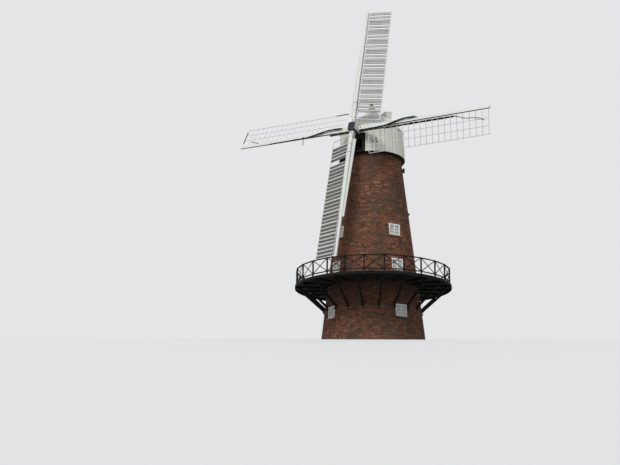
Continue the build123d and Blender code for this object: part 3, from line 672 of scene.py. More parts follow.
class Finishes:
    """Every finish of the mill."""

    brick = Brick("old_brick", "brick", (0.145, 0.055, 0.035))
    rubbed_brick = Brick("rubbed_brick", "brick", (0.19, 0.072, 0.043), orange=(0.30, 0.125, 0.07))
    band_brick = Brick(
        "band_brick", "course_band", (0.30, 0.17, 0.115), orange=(0.40, 0.25, 0.18), weathering_and_shade=0.2
    )
    mortar = Mortar("lime_mortar", "brick", (0.17, 0.13, 0.10), 0.95)
    band_mortar = Mortar("band_mortar", "course_band", (0.20, 0.16, 0.125), 0.95)
    paving = Mortar("worn_paving", "ground_paving", (0.28, 0.26, 0.23), 0.9)
    sill = Mortar("worn_sill_stone", "sill_stone", (0.44, 0.42, 0.37), 0.85, dirty=(0.22, 0.20, 0.17))
    floor = Timber("floor_boards", "floor_timber", (0.26, 0.17, 0.10), 0.65, worn=(0.12, 0.08, 0.05))
    tar = Timber("tarred_timber", "stage_timber", (0.010, 0.009, 0.008), 0.75, worn=(0.03, 0.027, 0.024))
    # Dark timber taken near black: painted shade for the shadow under the petticoat.
    curb = Timber("curb_shade_timber", "curb_timber", (0.022, 0.018, 0.014), 0.75, worn=(0.04, 0.033, 0.026))
    door = Paint("dark_door_paint", "door_paint", (0.022, 0.028, 0.024), 0.45, dirty=(0.06, 0.06, 0.055))
    window = Paint("white_window_paint", "window_paint", (0.88, 0.88, 0.84), 0.4, dirt=0.3)
    cap = SailPaint(
        "cream_cap_paint",
        "cap_paint",
        (0.91, 0.91, 0.81),
        0.5,
        dirty=(0.49, 0.48, 0.36),
        dirt=0.3,
        boards=0.55,
    )
    # Painted light: a lighter copy of the cap paint, which lifts the dome out of the top sail's shadow.
    dome = SailPaint(
        "lit_dome_paint",
        "cap_paint",
        (0.94, 0.94, 0.90),
        0.5,
        dirty=(0.60, 0.60, 0.50),
        dirt=0.3,
        boards=0.3,
    )
    # The sheers and shaft frames are near black: painted shade for the dark inside of the cap.
    frame = Paint("cap_frame_shade_paint", "frame_timber", (0.035, 0.03, 0.024), 0.6, dirty=(0.02, 0.018, 0.015))
    fan_post = Paint("fan_post_paint", "frame_timber", (0.66, 0.66, 0.58), 0.5, dirt=0.6)
    sail = SailPaint("white_sail_paint", "sail_paint", (0.74, 0.75, 0.71), 0.42, dirt=0.3)
    lattice = SailPaint("lattice_paint", "sail_paint", (0.76, 0.78, 0.80), 0.42, dirt=0.3)
    rail = SailPaint("shutter_rail_paint", "sail_paint", (0.70, 0.70, 0.65), 0.5, dirty=(0.36, 0.36, 0.30))
    # The lower shutters carry painted shade on the faces that look down.
    shutter = Paint(
        "shutter_canvas",
        "shutter_paint",
        (0.44, 0.44, 0.41),
        0.6,
        dirt=0.45,
        underside_shade=0.8,
        underside_shade_facing=(0.0, 0.4),
    )
    # The upper sail's shutters are a darker grey than the lower sail's, with no shade on their undersides.
    upper_shutter = Paint(
        "darker_upper_canvas", "shutter_paint", (0.24, 0.24, 0.22), 0.6, dirty=(0.17, 0.17, 0.15), dirt=0.35
    )
    fan = Paint("grey_fan_paint", "fan_paint", (0.74, 0.78, 0.68), 0.5, dirty=(0.44, 0.47, 0.38))
    iron = Iron("black_iron", "dark_iron", (0.012, 0.015, 0.026), 0.5)
    clamp = Paint("clamp_paint", "dark_iron", (0.72, 0.72, 0.68), 0.45, dirty=(0.30, 0.22, 0.16), dirt=0.4)
    green_cloth = Cloth(
        "green_sailcloth", "sailcloth", (0.008, 0.064, 0.044), 0.9, faded=(0.025, 0.135, 0.095)
    )
    # The left cloth: the green sailcloth darkened with painted shade for the shadow under the left whip.
    shaded_green_cloth = Cloth("shaded_green_sailcloth", "sailcloth", (0.008, 0.022, 0.015), 0.9, faded=(0.025, 0.05, 0.036))
    brown_cloth = Cloth(
        "brown_sailcloth", "roll_cloth", (0.045, 0.030, 0.023), 0.9, faded=(0.09, 0.065, 0.05)
    )
    rope = Cloth(
        "tie_rope", "sailcloth", (0.10, 0.085, 0.06), 0.9, faded=(0.16, 0.14, 0.10), threads=Pattern(260.0)
    )
    # The pane's grey colour is a painted reflection of the sky.
    pane = Glass("pane_sky_reflection", "window_pane", (0.50, 0.51, 0.50), 0.06)


class Piece:
    """Vertices and faces of one piece, gathered block by block."""

    def __init__(self, name: str) -> None:
        """Starts an empty piece.

        Args:
            name: the piece's name.
        """
        self.name = name
        self.points: list[np.ndarray] = []
        self.faces: list[np.ndarray] = []
        self.tones: list[np.ndarray] = []
        self.count = 0

    def add(self, points: "list | np.ndarray", faces: "list | np.ndarray", tone: float = 0.5) -> None:
        """Adds one closed surface.

        Args:
            points: its vertices, one row each.
            faces: its four-sided faces, by vertex number.
            tone: the number its faces hold for the finish.
        """
        self.points.append(np.array([tuple(point) for point in points], float))
        self.faces.append(np.asarray(faces, int) + self.count)
        self.tones.append(np.full(len(faces), tone))
        self.count += len(points)

    def block(self, corners: list[Vector], tone: float = 0.5) -> None:
        """Adds a block from its eight corners, the lower four first, each ring anticlockwise from above."""
        self.add(corners, BLOCK_FACES, tone)

    def box(self, frame: Matrix, low: Triple, high: Triple) -> None:
        """Adds a box that is square to a frame.

        Args:
            frame: the box's own frame.
            low: its lowest corner there.
            high: its highest corner there.
        """
        (x0, y0, z0), (x1, y1, z1) = low, high
        ring = ((x0, y0), (x1, y0), (x1, y1), (x0, y1))
        self.block([frame @ Vector((x, y, z)) for z in (z0, z1) for x, y in ring])

    def tube(self, path: list[Vector], radius: float, sides: int = 8) -> None:
        """Adds a round tube along a path.

        Args:
            path: the points of its centre line.
            radius: its radius.
            sides: how many sides it has.
        """
        rings = []
        for index, point in enumerate(path):
            before = path[max(index - 1, 0)]
            after = path[min(index + 1, len(path) - 1)]
            heading = (after - before).normalized()
            side = heading.cross(UP if abs(heading.z) < STEEP else RIGHT).normalized()
            lift = side.cross(heading)
            for step in range(sides):
                angle = TAU * step / sides
                rings.append(point + (side * math.cos(angle) + lift * math.sin(angle)) * radius)
        faces = []
        for index in range(len(path) - 1):
            for step in range(sides):
                first = index * sides + step
                second = index * sides + (step + 1) % sides
                faces.append((first, second, second + sides, first + sides))
        last = (len(path) - 1) * sides
        for start in (0, last):
            for step in range(1, sides - 2, 2):
                cap = (start, start + step, start + step + 1, start + step + 2)
                faces.append(cap if start == last else cap[::-1])
        self.add(rings, faces)

    def make(self, finish: Finish, body: Body, smooth: bool = False) -> bpy.types.Object:
        """Makes the Blender object.

        Args:
            finish: what it is finished in.
            body: the body that it rides on.
            smooth: whether its faces are shaded smooth.

        Returns:
            The object, riding on its body.
        """
        mesh = bpy.data.meshes.new(self.name)
        faces = np.concatenate(self.faces)
        mesh.from_pydata(np.concatenate(self.points).tolist(), [], faces.tolist())
        tone = mesh.attributes.new("tone", "FLOAT", "FACE")
        tone.data.foreach_set("value", np.concatenate(self.tones))
        if smooth:
            mesh.shade_smooth()
        else:
            mesh.shade_flat()
        mesh.materials.append(finish.material())
        made = bpy.data.objects.new(self.name, mesh)
        bpy.context.scene.collection.objects.link(made)
        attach(made, body.value)
        LOG.info("%s: %d faces", self.name, len(faces))
        return made


@dataclass
class FrameFinishes:
    """Gives each CAD node its finish."""

    nodes: dict[str, bpy.types.Object]
    side_limit: float = 0.5

    def dress(self) -> None:
        """Puts one material on each node."""
        choice = {
            Finishes.mortar: "window_walls plain_walls",
            Finishes.band_mortar: "string_course",
            Finishes.paving: "ground_floor",
            Finishes.floor: "stage_floor upper_floor",
            Finishes.window: "window_frames door_frames",
            Finishes.pane: "window_glass",
            Finishes.sill: "window_sills",
            Finishes.door: "door_leaves",
            Finishes.tar: (
                "stage_deck stage_fascia stage_joists stage_struts stage_posts "
                "top_rail lower_rail rail_braces"
            ),
            Finishes.curb: "curb cap_ring",
            Finishes.frame: "sheers shaft_frames",
            Finishes.fan_post: "fan_frame",
            Finishes.cap: "petticoat cap_eaves",
            Finishes.dome: "dome finial",
            Finishes.iron: "windshaft poll_end",
            Finishes.clamp: "stock_clamps",
            Finishes.sail: "stocks shuttered_whips cloth_whips shuttered_frames leading_boards",
            Finishes.lattice: "right_lattice left_lattice",
            Finishes.shutter: "lower_shutters",
            Finishes.upper_shutter: "upper_shutters",
            Finishes.fan: "fan_hub fan_blades",
        }
        for finish, names in choice.items():
            for name in names.split():
                mesh = self.nodes[name].data
                mesh.materials.clear()
                mesh.materials.append(finish.material())
                LOG.info("%s: %s", name, finish.name)
        self.paint_poll_sides()

    def paint_poll_sides(self) -> None:
        """Paints the poll end's sides white and leaves its front and back dark."""
        mesh = self.nodes["poll_end"].data
        mesh.materials.append(Finishes.sail.material())
        forward = MILL.shaft_direction()
        for polygon in mesh.polygons:
            polygon.material_index = int(abs(polygon.normal.dot(forward)) < self.side_limit)


@dataclass
class Brickwork:
    """The tower's bricks, laid in courses and trimmed round its openings."""

    course: float = 0.075
    joint: float = 0.011
    proud: float = 0.004
    bed: float = 0.02
    half_lap: float = 0.5
    least_brick: float = 0.3
    uneven: float = 0.0012
    pale_share: float = 0.02
    tones: Pair = (0.46, 0.24)
    tone_ends: Pair = (0.02, 0.96)
    band_clear: float = 0.11
    band_proud: float = 0.035
    arch_rise: float = 0.225
    arch_brick: float = 0.066
    arch_spread: float = 0.11
    arch_proud: float = 0.001
    arch_tones: Pair = (0.3, 0.8)
    parts: int = 3
    seed: int = 7

    def holes(self) -> list[tuple[float, float, float, float]]:
        """Lists the windows and the doors.

        Returns:
            The bearing, width, bottom and top of each.
        """
        found = []
        for bearing in MILL.window_bearings():
            for sill in MILL.sill_levels:
                found.append((bearing, MILL.window_width, sill, sill + MILL.window_height))
        for step in MILL.door_levels:
            found.append((MILL.door_bearing, MILL.door_width, step, step + MILL.door_height))
        return found

    def clear_arcs(self, low: float, high: float) -> list[Pair]:
        """Finds the stretches of a course that the openings and the arches over them take.

        Args:
            low: the course's bottom.
            high: its top.

        Returns:
            The bearings where each stretch starts and ends.
        """
        radius = MILL.wall_radius(low)
        arcs = []
        for bearing, width, bottom, top in self.holes():
            arch = (width / 2 + self.arch_spread, top, top + self.arch_rise)
            for half, foot, head in ((width / 2, bottom, top), arch):
                if min(high, head) - max(low, foot) > self.joint:
                    arcs.append(arc_round(bearing, half, radius))
        return arcs

    def trimmed(self, start: float, end: float, arcs: list[Pair]) -> "Pair | None":
        """Cuts a brick back to what the openings leave of it.

        Args:
            start: bearing where the brick starts.
            end: bearing where it ends.
            arcs: the stretches that the openings take.

        Returns:
            The start and end left, or None where too little is left.
        """
        for low, high in arcs:
            shift = 360 if high < low else 0
            for turn in (0, -360):
                first, last = low + turn, high + shift + turn
                if start < last and end > first:
                    if start >= first and end <= last:
                        return None
                    if start < first:
                        end = min(end, first)
                    else:
                        start = max(start, last)
        return (start, end) if end - start > self.least_brick else None

    def lay(self) -> None:
        """Lays every course, in a few pieces stacked up the tower."""
        rng = np.random.default_rng(self.seed)
        courses = int(MILL.tower_height / self.course)
        per_part = math.ceil(courses / self.parts)
        for part in range(self.parts):
            piece = Piece(f"bricks_{part + 1}")
            for number in range(part * per_part, min((part + 1) * per_part, courses)):
                low = number * self.course + self.joint / 2
                heights = (low, low + self.course - self.joint)
                shift = self.half_lap * (number % 2)
                self.ring(piece, heights, Bond.FLEMISH, shift, self.clear_arcs(*heights), self.proud, rng)
            piece.make(Finishes.brick, Body.TOWER)

    def ring(
        self,
        piece: Piece,
        heights: Pair,
        bond: Bond,
        shift: float,
        arcs: list[Pair],
        stand: float,
        rng: np.random.Generator,
    ) -> None:
        """Adds one ring of bricks.

        Args:
            piece: the piece that takes them.
            heights: bottom and top of the bricks.
            bond: the lengths of the bricks in turn.
            shift: how far the ring is turned, in groups of the bond.
            arcs: the stretches that openings take.
            stand: how far the bricks stand out from the wall.
            rng: the source of their tones.
        """
        radius = MILL.wall_radius(heights[0]) + stand
        span = sum(bond.value) + self.joint * len(bond.value)
        groups = round(TAU * radius / span)
        turn = 360.0 / groups
        scale = turn / span
        for group in range(groups):
            start = (group + shift) * turn
            for length in bond.value:
                end = start + length * scale
                kept = self.trimmed(start % 360, start % 360 + end - start, arcs)
                pale = rng.random() < self.pale_share
                tone = 1.0 if pale else float(np.clip(rng.normal(*self.tones), *self.tone_ends))
                proud = stand + rng.uniform(-self.uneven, self.uneven)
                if kept:
                    self.brick(piece, kept, heights, proud, tone)
                start = end + self.joint * scale

    def band(self) -> None:
        """Adds the bricks of the string course, which stops either side of each window."""
        rng = np.random.default_rng(self.seed + 2)
        piece = Piece("string_course_bricks")
        half = MILL.window_width / 2 + self.band_clear
        radius = MILL.wall_radius(MILL.course_low)
        arcs = [arc_round(bearing, half, radius) for bearing in MILL.window_bearings()]
        height = (MILL.course_high - MILL.course_low) / 2
        thin_joint = self.joint / 3
        for number in range(2):
            low = MILL.course_low + height * number + thin_joint
            heights = (low, low + height - 2 * thin_joint)
            shift = self.half_lap * number
            self.ring(piece, heights, Bond.HEADERS, shift, arcs, self.band_proud + self.proud, rng)
        piece.make(Finishes.band_brick, Body.TOWER)

    def brick(self, piece: Piece, span: Pair, heights: Pair, stand: float, tone: float) -> None:
        """Adds one brick.

        Args:
            piece: the piece that takes it.
            span: the bearings where it starts and ends.
            heights: its bottom and top.
            stand: how far it stands out from the wall.
            tone: its tone.
        """
        corners = []
        for inset in (-self.bed, stand):
            for height, bearing in ((0, 0), (0, 1), (1, 1), (1, 0)):
                reach = MILL.wall_radius(heights[height]) + inset
                corners.append(outward(span[bearing]) * reach + UP * heights[height])
        piece.block(corners, tone)

    def arches(self) -> None:
        """Adds the soldier course over each window and door."""
        rng = np.random.default_rng(self.seed + 1)
        piece = Piece("brick_lintels")
        for bearing, width, _, bottom in self.holes():
            full = width + 2 * self.arch_spread
            count = round(full / (self.arch_brick + self.joint))
            radius = MILL.wall_radius(bottom)
            pitch = math.degrees(full / radius) / count
            heights = (bottom + self.joint / 2, bottom + self.arch_rise - self.joint / 2)
            for number in range(count):
                start = bearing - pitch * count / 2 + pitch * number
                span = (start, start + pitch - math.degrees(self.joint / radius))
                tone = float(rng.uniform(*self.arch_tones))
                self.brick(piece, span, heights, self.proud + self.arch_proud, tone)
        piece.make(Finishes.rubbed_brick, Body.TOWER)

    def build(self) -> None:
        """Builds all the brickwork."""
        self.lay()
        self.arches()
        self.band()


@dataclass
class Windows:
    """The glazing bars and casements of the small-paned windows."""

    casement_face: float = 0.045
    casement_depth: float = 0.05
    set_back: float = 0.005
    bar: float = 0.022
    bar_depth: float = 0.03
    gap: float = 0.0005
    columns: int = 2
    rows: int = 3

    def casement(self, piece: Piece, frame: Matrix, sides: Pair, height: float) -> None:
        """Adds one casement with its bars.

        Args:
            piece: the piece that takes it.
            frame: the window's frame.
            sides: where it starts and ends across the window.
            height: how tall it is.
        """
        left, right = sides
        back = self.set_back - MILL.frame_depth / 2
        front = back + self.casement_depth
        bar_front = back + self.bar_depth
        face, half = self.casement_face, self.bar / 2
        base = MILL.frame_face + self.gap
        top = base + height
        for start, end in ((left, left + face), (right - face, right)):
            piece.box(frame, (start, base, back), (end, top, front))
        for start, end in ((base, base + face), (top - face, top)):
            piece.box(frame, (left + face, start, back), (right - face, end, front))
        (x0, y0), (x1, y1) = (left + face, base + face), (right - face, top - face)
        for number in range(1, self.columns):
            x = x0 + (x1 - x0) * number / self.columns
            piece.box(frame, (x - half, y0, back), (x + half, y1, bar_front))
        for number in range(1, self.rows):
            y = y0 + (y1 - y0) * number / self.rows
            piece.box(frame, (x0, y - half, back), (x1, y + half, bar_front))

    def build(self) -> None:
        """Builds the casements of every window."""
        piece = Piece("casements")
        half = (MILL.window_width / 2 - MILL.seat) - MILL.frame_face - self.gap
        opening = MILL.window_height - MILL.sill_height - 2 * MILL.seat
        height = opening - 2 * MILL.frame_face - 2 * self.gap
        for bearing in MILL.window_bearings():
            for sill in MILL.sill_levels:
                reach = MILL.wall_radius(sill) - MILL.reveal
                frame = wall_frame(bearing, reach, sill + MILL.sill_height + MILL.seat)
                self.casement(piece, frame, (-half, -self.gap), height)
                self.casement(piece, frame, (self.gap, half), height)
        piece.make(Finishes.window, Body.TOWER)


@dataclass
class Doors:
    """The boards and ironwork on the two door leaves."""

    board: float = 0.135
    gap: float = 0.005
    thickness: float = 0.012
    leaf_front: float = -0.24
    side_gaps: float = 0.004
    head_gap: float = 0.006
    sunk: float = 0.001
    hinge_length: float = 0.62
    hinge_height: float = 0.045
    hinge_depth: float = 0.006
    hinge_shares: Pair = (0.16, 0.82)
    latch_inset: float = 0.12
    latch_width: float = 0.05
    latch_depth: float = 0.02
    latch_shares: Pair = (0.47, 0.55)

    def build(self) -> None:
        """Builds the boards, strap hinges and latches."""
        boards = Piece("door_boards")
        straps = Piece("door_ironwork")
        width = MILL.door_width - 2 * MILL.frame_face - self.side_gaps
        top = MILL.door_height - MILL.frame_face - self.head_gap
        count = round(width / self.board)
        pitch = width / count
        back = self.thickness - self.sunk
        strap_front = self.thickness + self.hinge_depth
        for level in MILL.door_levels:
            frame = wall_frame(MILL.door_bearing, MILL.wall_radius(level) + self.leaf_front, level)
            for number in range(count):
                start = -width / 2 + pitch * number
                low = (start + self.gap / 2, self.side_gaps, -self.sunk)
                boards.box(frame, low, (start + pitch - self.gap / 2, top, self.thickness))
            for share in self.hinge_shares:
                foot = top * share
                high = (self.hinge_length - width / 2, foot + self.hinge_height, strap_front)
                straps.box(frame, (-width / 2, foot, back), high)
            start = width / 2 - self.latch_inset
            foot, head = (top * share for share in self.latch_shares)
            high = (start + self.latch_width, head, self.thickness + self.latch_depth)
            straps.box(frame, (start, foot, back), high)
        boards.make(Finishes.door, Body.TOWER)
        straps.make(Finishes.iron, Body.TOWER)


@dataclass
class Stage:
    """The deck's boards and the ironwork of the stage."""

    board: float = 0.16
    gap: float = 0.008
    lift: float = 0.004
    sunk: float = 0.001
    wall_gap: float = 0.02
    bolt_radius: float = 0.022
    bolt_front: float = 0.049
    bolt_ends: Pair = (-0.004, 0.0008)
    bolt_drops: Pair = (0.15, 0.06)
    strut_foot: float = 2.73
    shoe_drop: float = 0.1
    wall_drop: float = 0.06
    shoe_boxes: tuple[tuple[Triple, Triple], ...] = (
        ((-0.09, 0.0, -0.01), (0.09, 0.1, 0.14)),
        ((-0.075, -0.14, -0.01), (0.075, 0.0, 0.04)),
    )

    def deck_board(self, piece: Piece, middle: float, inner: float, heights: Pair) -> None:
        """Adds one chord board of a bay, mitred on the joists' lines.

        Args:
            piece: the piece that takes it.
            middle: the bearing of the bay's middle.
            inner: how far from the axis the board starts.
            heights: its bottom and top.
        """
        half = math.radians(180.0 / MILL.stage_bays) - self.gap / inner / 2
        out, side = outward(middle), along(middle)
        outer = inner + self.board - self.gap
        corners = []
        for height in heights:
            for reach, sign in ((outer, -1), (outer, 1), (inner, 1), (inner, -1)):
                corners.append(out * reach + side * (sign * reach * math.tan(half)) + UP * height)
        piece.block(corners)

    def boards(self) -> None:
        """Adds the boards on top of the deck and beneath it."""
        piece = Piece("deck_boards")
        half = math.radians(180.0 / MILL.stage_bays)
        first = (MILL.wall_radius(MILL.deck_top) + self.wall_gap) / math.cos(half)
        last = MILL.deck_radius * math.cos(half)
        top, low = MILL.deck_top, MILL.deck_top - MILL.deck_thickness
        layers = ((top - self.sunk, top + self.lift), (low - self.lift, low + self.sunk))
        for bay in range(MILL.stage_bays):
            middle = MILL.window_bearing + 360.0 / MILL.stage_bays * bay
            for number in range(int((last - first) / self.board)):
                for heights in layers:
                    self.deck_board(piece, middle, first + self.board * number, heights)
        piece.make(Finishes.tar, Body.TOWER)

    def bolts(self) -> None:
        """Adds a pair of bolt heads to each joist's end and a shoe to each strut's foot."""
        piece = Piece("stage_bolts")
        shoes = Piece("strut_shoes")
        for bay in range(MILL.stage_bays):
            bearing = MILL.window_bearing + 360.0 / MILL.stage_bays * (bay + 0.5)
            out = outward(bearing)
            for drop in self.bolt_drops:
                start = out * (MILL.deck_radius + self.bolt_front) + UP * (MILL.deck_top - drop)
                piece.tube([start + out * end for end in self.bolt_ends], self.bolt_radius, NUT_SIDES)
            reach = MILL.wall_radius(self.strut_foot - self.wall_drop)
            frame = wall_frame(bearing, reach, self.strut_foot - self.shoe_drop)
            for low, high in self.shoe_boxes:
                shoes.box(frame, low, high)
        piece.make(Finishes.iron, Body.TOWER)
        shoes.make(Finishes.tar, Body.TOWER)

    def build(self) -> None:
        """Builds the stage's boards and ironwork."""
        self.boards()
        self.bolts()


@dataclass
class WallLamps:
    """The black lamps on brackets high on the right of the tower."""

    places: tuple[Triple, ...] = ((108.0, 14.45, 1.0), (109.0, 10.72, 0.5))
    plate: tuple[Triple, Triple] = ((-0.05, -0.09, -0.012), (0.05, 0.09, 0.022))
    arm: float = 0.03
    arm_half: float = 0.02
    arm_start: float = 0.02
    lamp: Triple = (0.17, 0.36, 0.17)
    sunk: float = 0.001

    def build(self) -> None:
        """Builds each lamp with its back plate and arm."""
        piece = Piece("wall_lamps")
        half = self.arm_half
        for bearing, height, scale in self.places:
            frame = wall_frame(bearing, MILL.wall_radius(height), height)
            width, tall, deep = (size * scale for size in self.lamp)
            reach = self.arm * scale
            piece.box(frame, *self.plate)
            piece.box(frame, (-half, -half, self.arm_start), (half, half, reach))
            piece.box(frame, (-width / 2, -tall / 2, reach - self.sunk), (width / 2, tall / 2, reach + deep))
        piece.make(Finishes.iron, Body.TOWER)


@dataclass
class CapBoards:
    """The boards of the petticoat and of the ogee dome."""

    board: float = 0.15
    gap: float = 0.006
    proud: float = 0.007
    sunk: float = 0.002
    opening: float = 30.0
    storm_low: float = 16.98
    sheer_place: float = 0.45
    sheer_half: float = 0.105
    sheer_low: float = 15.69
    sheer_high: float = 15.992
    shaft_clear: float = 0.225
    shaft_gap: float = 0.04
    board_tones: float = 37.0
    dome_boards: int = 48
    dome_proud: float = 0.006
    dome_sunk: float = 0.003
    dome_gap_share: float = 0.2
    shoulder_radius: float = 0.878
    shoulder_center: float = 1.5
    shoulder_end: float = 68.0
    sweep_radius: float = 3.398
    neck_radius: float = 0.25
    steps: int = 12
    cleat_places: tuple[Pair, ...] = (
        (25.6, 16.53),
        (28.2, 16.19),
        (33.7, 16.41),
        (34.7, 16.14),
        (81.0, 17.53),
    )
    cleat_boxes: tuple[tuple[Triple, Triple], ...] = (
        ((-0.035, -0.05, -0.006), (0.035, 0.05, 0.012)),
        ((-0.012, -0.05, 0.012), (0.012, 0.05, 0.055)),
        ((-0.05, -0.012, 0.055), (0.05, 0.012, 0.075)),
    )

    def petticoat_board(self, piece: Piece, span: Pair, low: float, high: float) -> None:
        """Adds one upright board, each a little dirtier or cleaner.

        Args:
            piece: the piece that takes it.
            span: the bearings where it starts and ends.
            low: its bottom.
            high: its top.
        """
        start, end = span
        corners = []
        for inset in (-self.sunk, self.proud):
            for height, bearing in ((low, start), (low, end), (high, end), (high, start)):
                corners.append(outward(bearing) * (MILL.petticoat_face(height) + inset) + UP * height)
        piece.block(corners, tone=0.5 + 0.5 * math.sin(self.board_tones * start))

    def petticoat(self) -> None:
        """Boards the petticoat, cut round the sheers' tails and the windshaft."""
        piece = Piece("petticoat_boards")
        count = round(TAU * MILL.petticoat_radius / self.board)
        pitch = 360.0 / count
        trim = math.degrees(self.gap / MILL.petticoat_radius) / 2
        half = math.radians(pitch) / 2 * MILL.petticoat_radius
        for number in range(count):
            middle = pitch * (number + 0.5)
            from_front = min(middle, 360 - middle)
            span = (middle - pitch / 2 + trim, middle + pitch / 2 - trim)
            place = outward(middle) * MILL.petticoat_radius
            low = MILL.petticoat_low
            if from_front + pitch / 2 < self.opening / 2:
                low = self.storm_board_low(place.x, half)
            elif from_front - pitch / 2 < self.opening / 2:
                low = self.storm_low
            elif place.y > 0 and abs(abs(place.x) - self.sheer_place) < self.sheer_half + half:
                self.petticoat_board(piece, span, low, self.sheer_low)
                low = self.sheer_high
            self.petticoat_board(piece, span, low, MILL.petticoat_top)
        piece.make(Finishes.cap, Body.CAP)

    def storm_board_low(self, place: float, half: float) -> float:
        """Finds where a board above the windshaft starts, so that it clears the shaft.

        Args:
            place: the board's place across the cap.
            half: half its width.

        Returns:
            The height of its lower end.
        """
        near = max(abs(place) - half, 0)
        if near >= self.shaft_clear:
            return self.storm_low
        rise = math.sqrt(self.shaft_clear**2 - near**2)
        return MILL.shaft_height(-MILL.petticoat_radius) + rise + self.shaft_gap

    def profile(self) -> list[Vector]:
        """Draws the dome's outline: the round shoulder, then the sweep to the neck.

        Returns:
            Points up the dome, as radius and height.
        """
        drop = math.sqrt(self.shoulder_radius**2 - (MILL.dome_foot_radius - self.shoulder_center) ** 2)
        center = Vector((self.shoulder_center, MILL.eaves_top + drop))
        start = -math.degrees(math.asin(drop / self.shoulder_radius))
        sweep = center + spoke(self.shoulder_end) * (self.shoulder_radius + self.sweep_radius)
        across = sweep.x - self.neck_radius
        finish = 180 + math.degrees(math.atan(math.sqrt(self.sweep_radius**2 - across**2) / across))
        shoulder = np.linspace(start, self.shoulder_end, self.steps)
        neck = np.linspace(self.shoulder_end + 180, finish, self.steps + 1)[1:]
        points = [center + spoke(angle) * (self.shoulder_radius + self.dome_proud) for angle in shoulder]
        points += [sweep + spoke(angle) * (self.sweep_radius - self.dome_proud) for angle in neck]
        return points

    def dome(self) -> None:
        """Boards the dome with tapered boards that meet at the neck."""
        piece = Piece("dome_boards")
        profile = self.profile()
        pitch = 360.0 / self.dome_boards
        last = 4 * (len(profile) - 1)
        faces = [(0, 2, 3, 1)]
        for low in range(0, last, 4):
            high = low + 4
            faces += [(low + 2, high + 2, high + 3, low + 3), (low, low + 1, high + 1, high)]
            faces += [(low + 1, low + 3, high + 3, high + 1), (low, high, high + 2, low + 2)]
        faces.append((last, last + 1, last + 3, last + 2))
        for number in range(self.dome_boards):
            rings = []
            for point in profile:
                most = math.radians(pitch) * self.dome_gap_share
                trim = math.degrees(min(self.gap / point.x, most)) / 2
                for inset in (self.dome_proud + self.dome_sunk, 0.0):
                    for bearing in (pitch * number + trim, pitch * (number + 1) - trim):
                        rings.append(outward(bearing) * (point.x - inset) + UP * point.y)
            piece.add(rings, faces)
        piece.make(Finishes.dome, Body.CAP)

    def cleats(self) -> None:
        """Adds the iron cleats on the right of the petticoat."""
        piece = Piece("cap_cleats")
        for bearing, height in self.cleat_places:
            frame = wall_frame(bearing, MILL.petticoat_face(height) + self.proud, height)
            for low, high in self.cleat_boxes:
                piece.box(frame, low, high)
        piece.make(Finishes.iron, Body.CAP)

    def build(self) -> None:
        """Builds the cap's boards and cleats."""
        self.petticoat()
        self.dome()
        self.cleats()


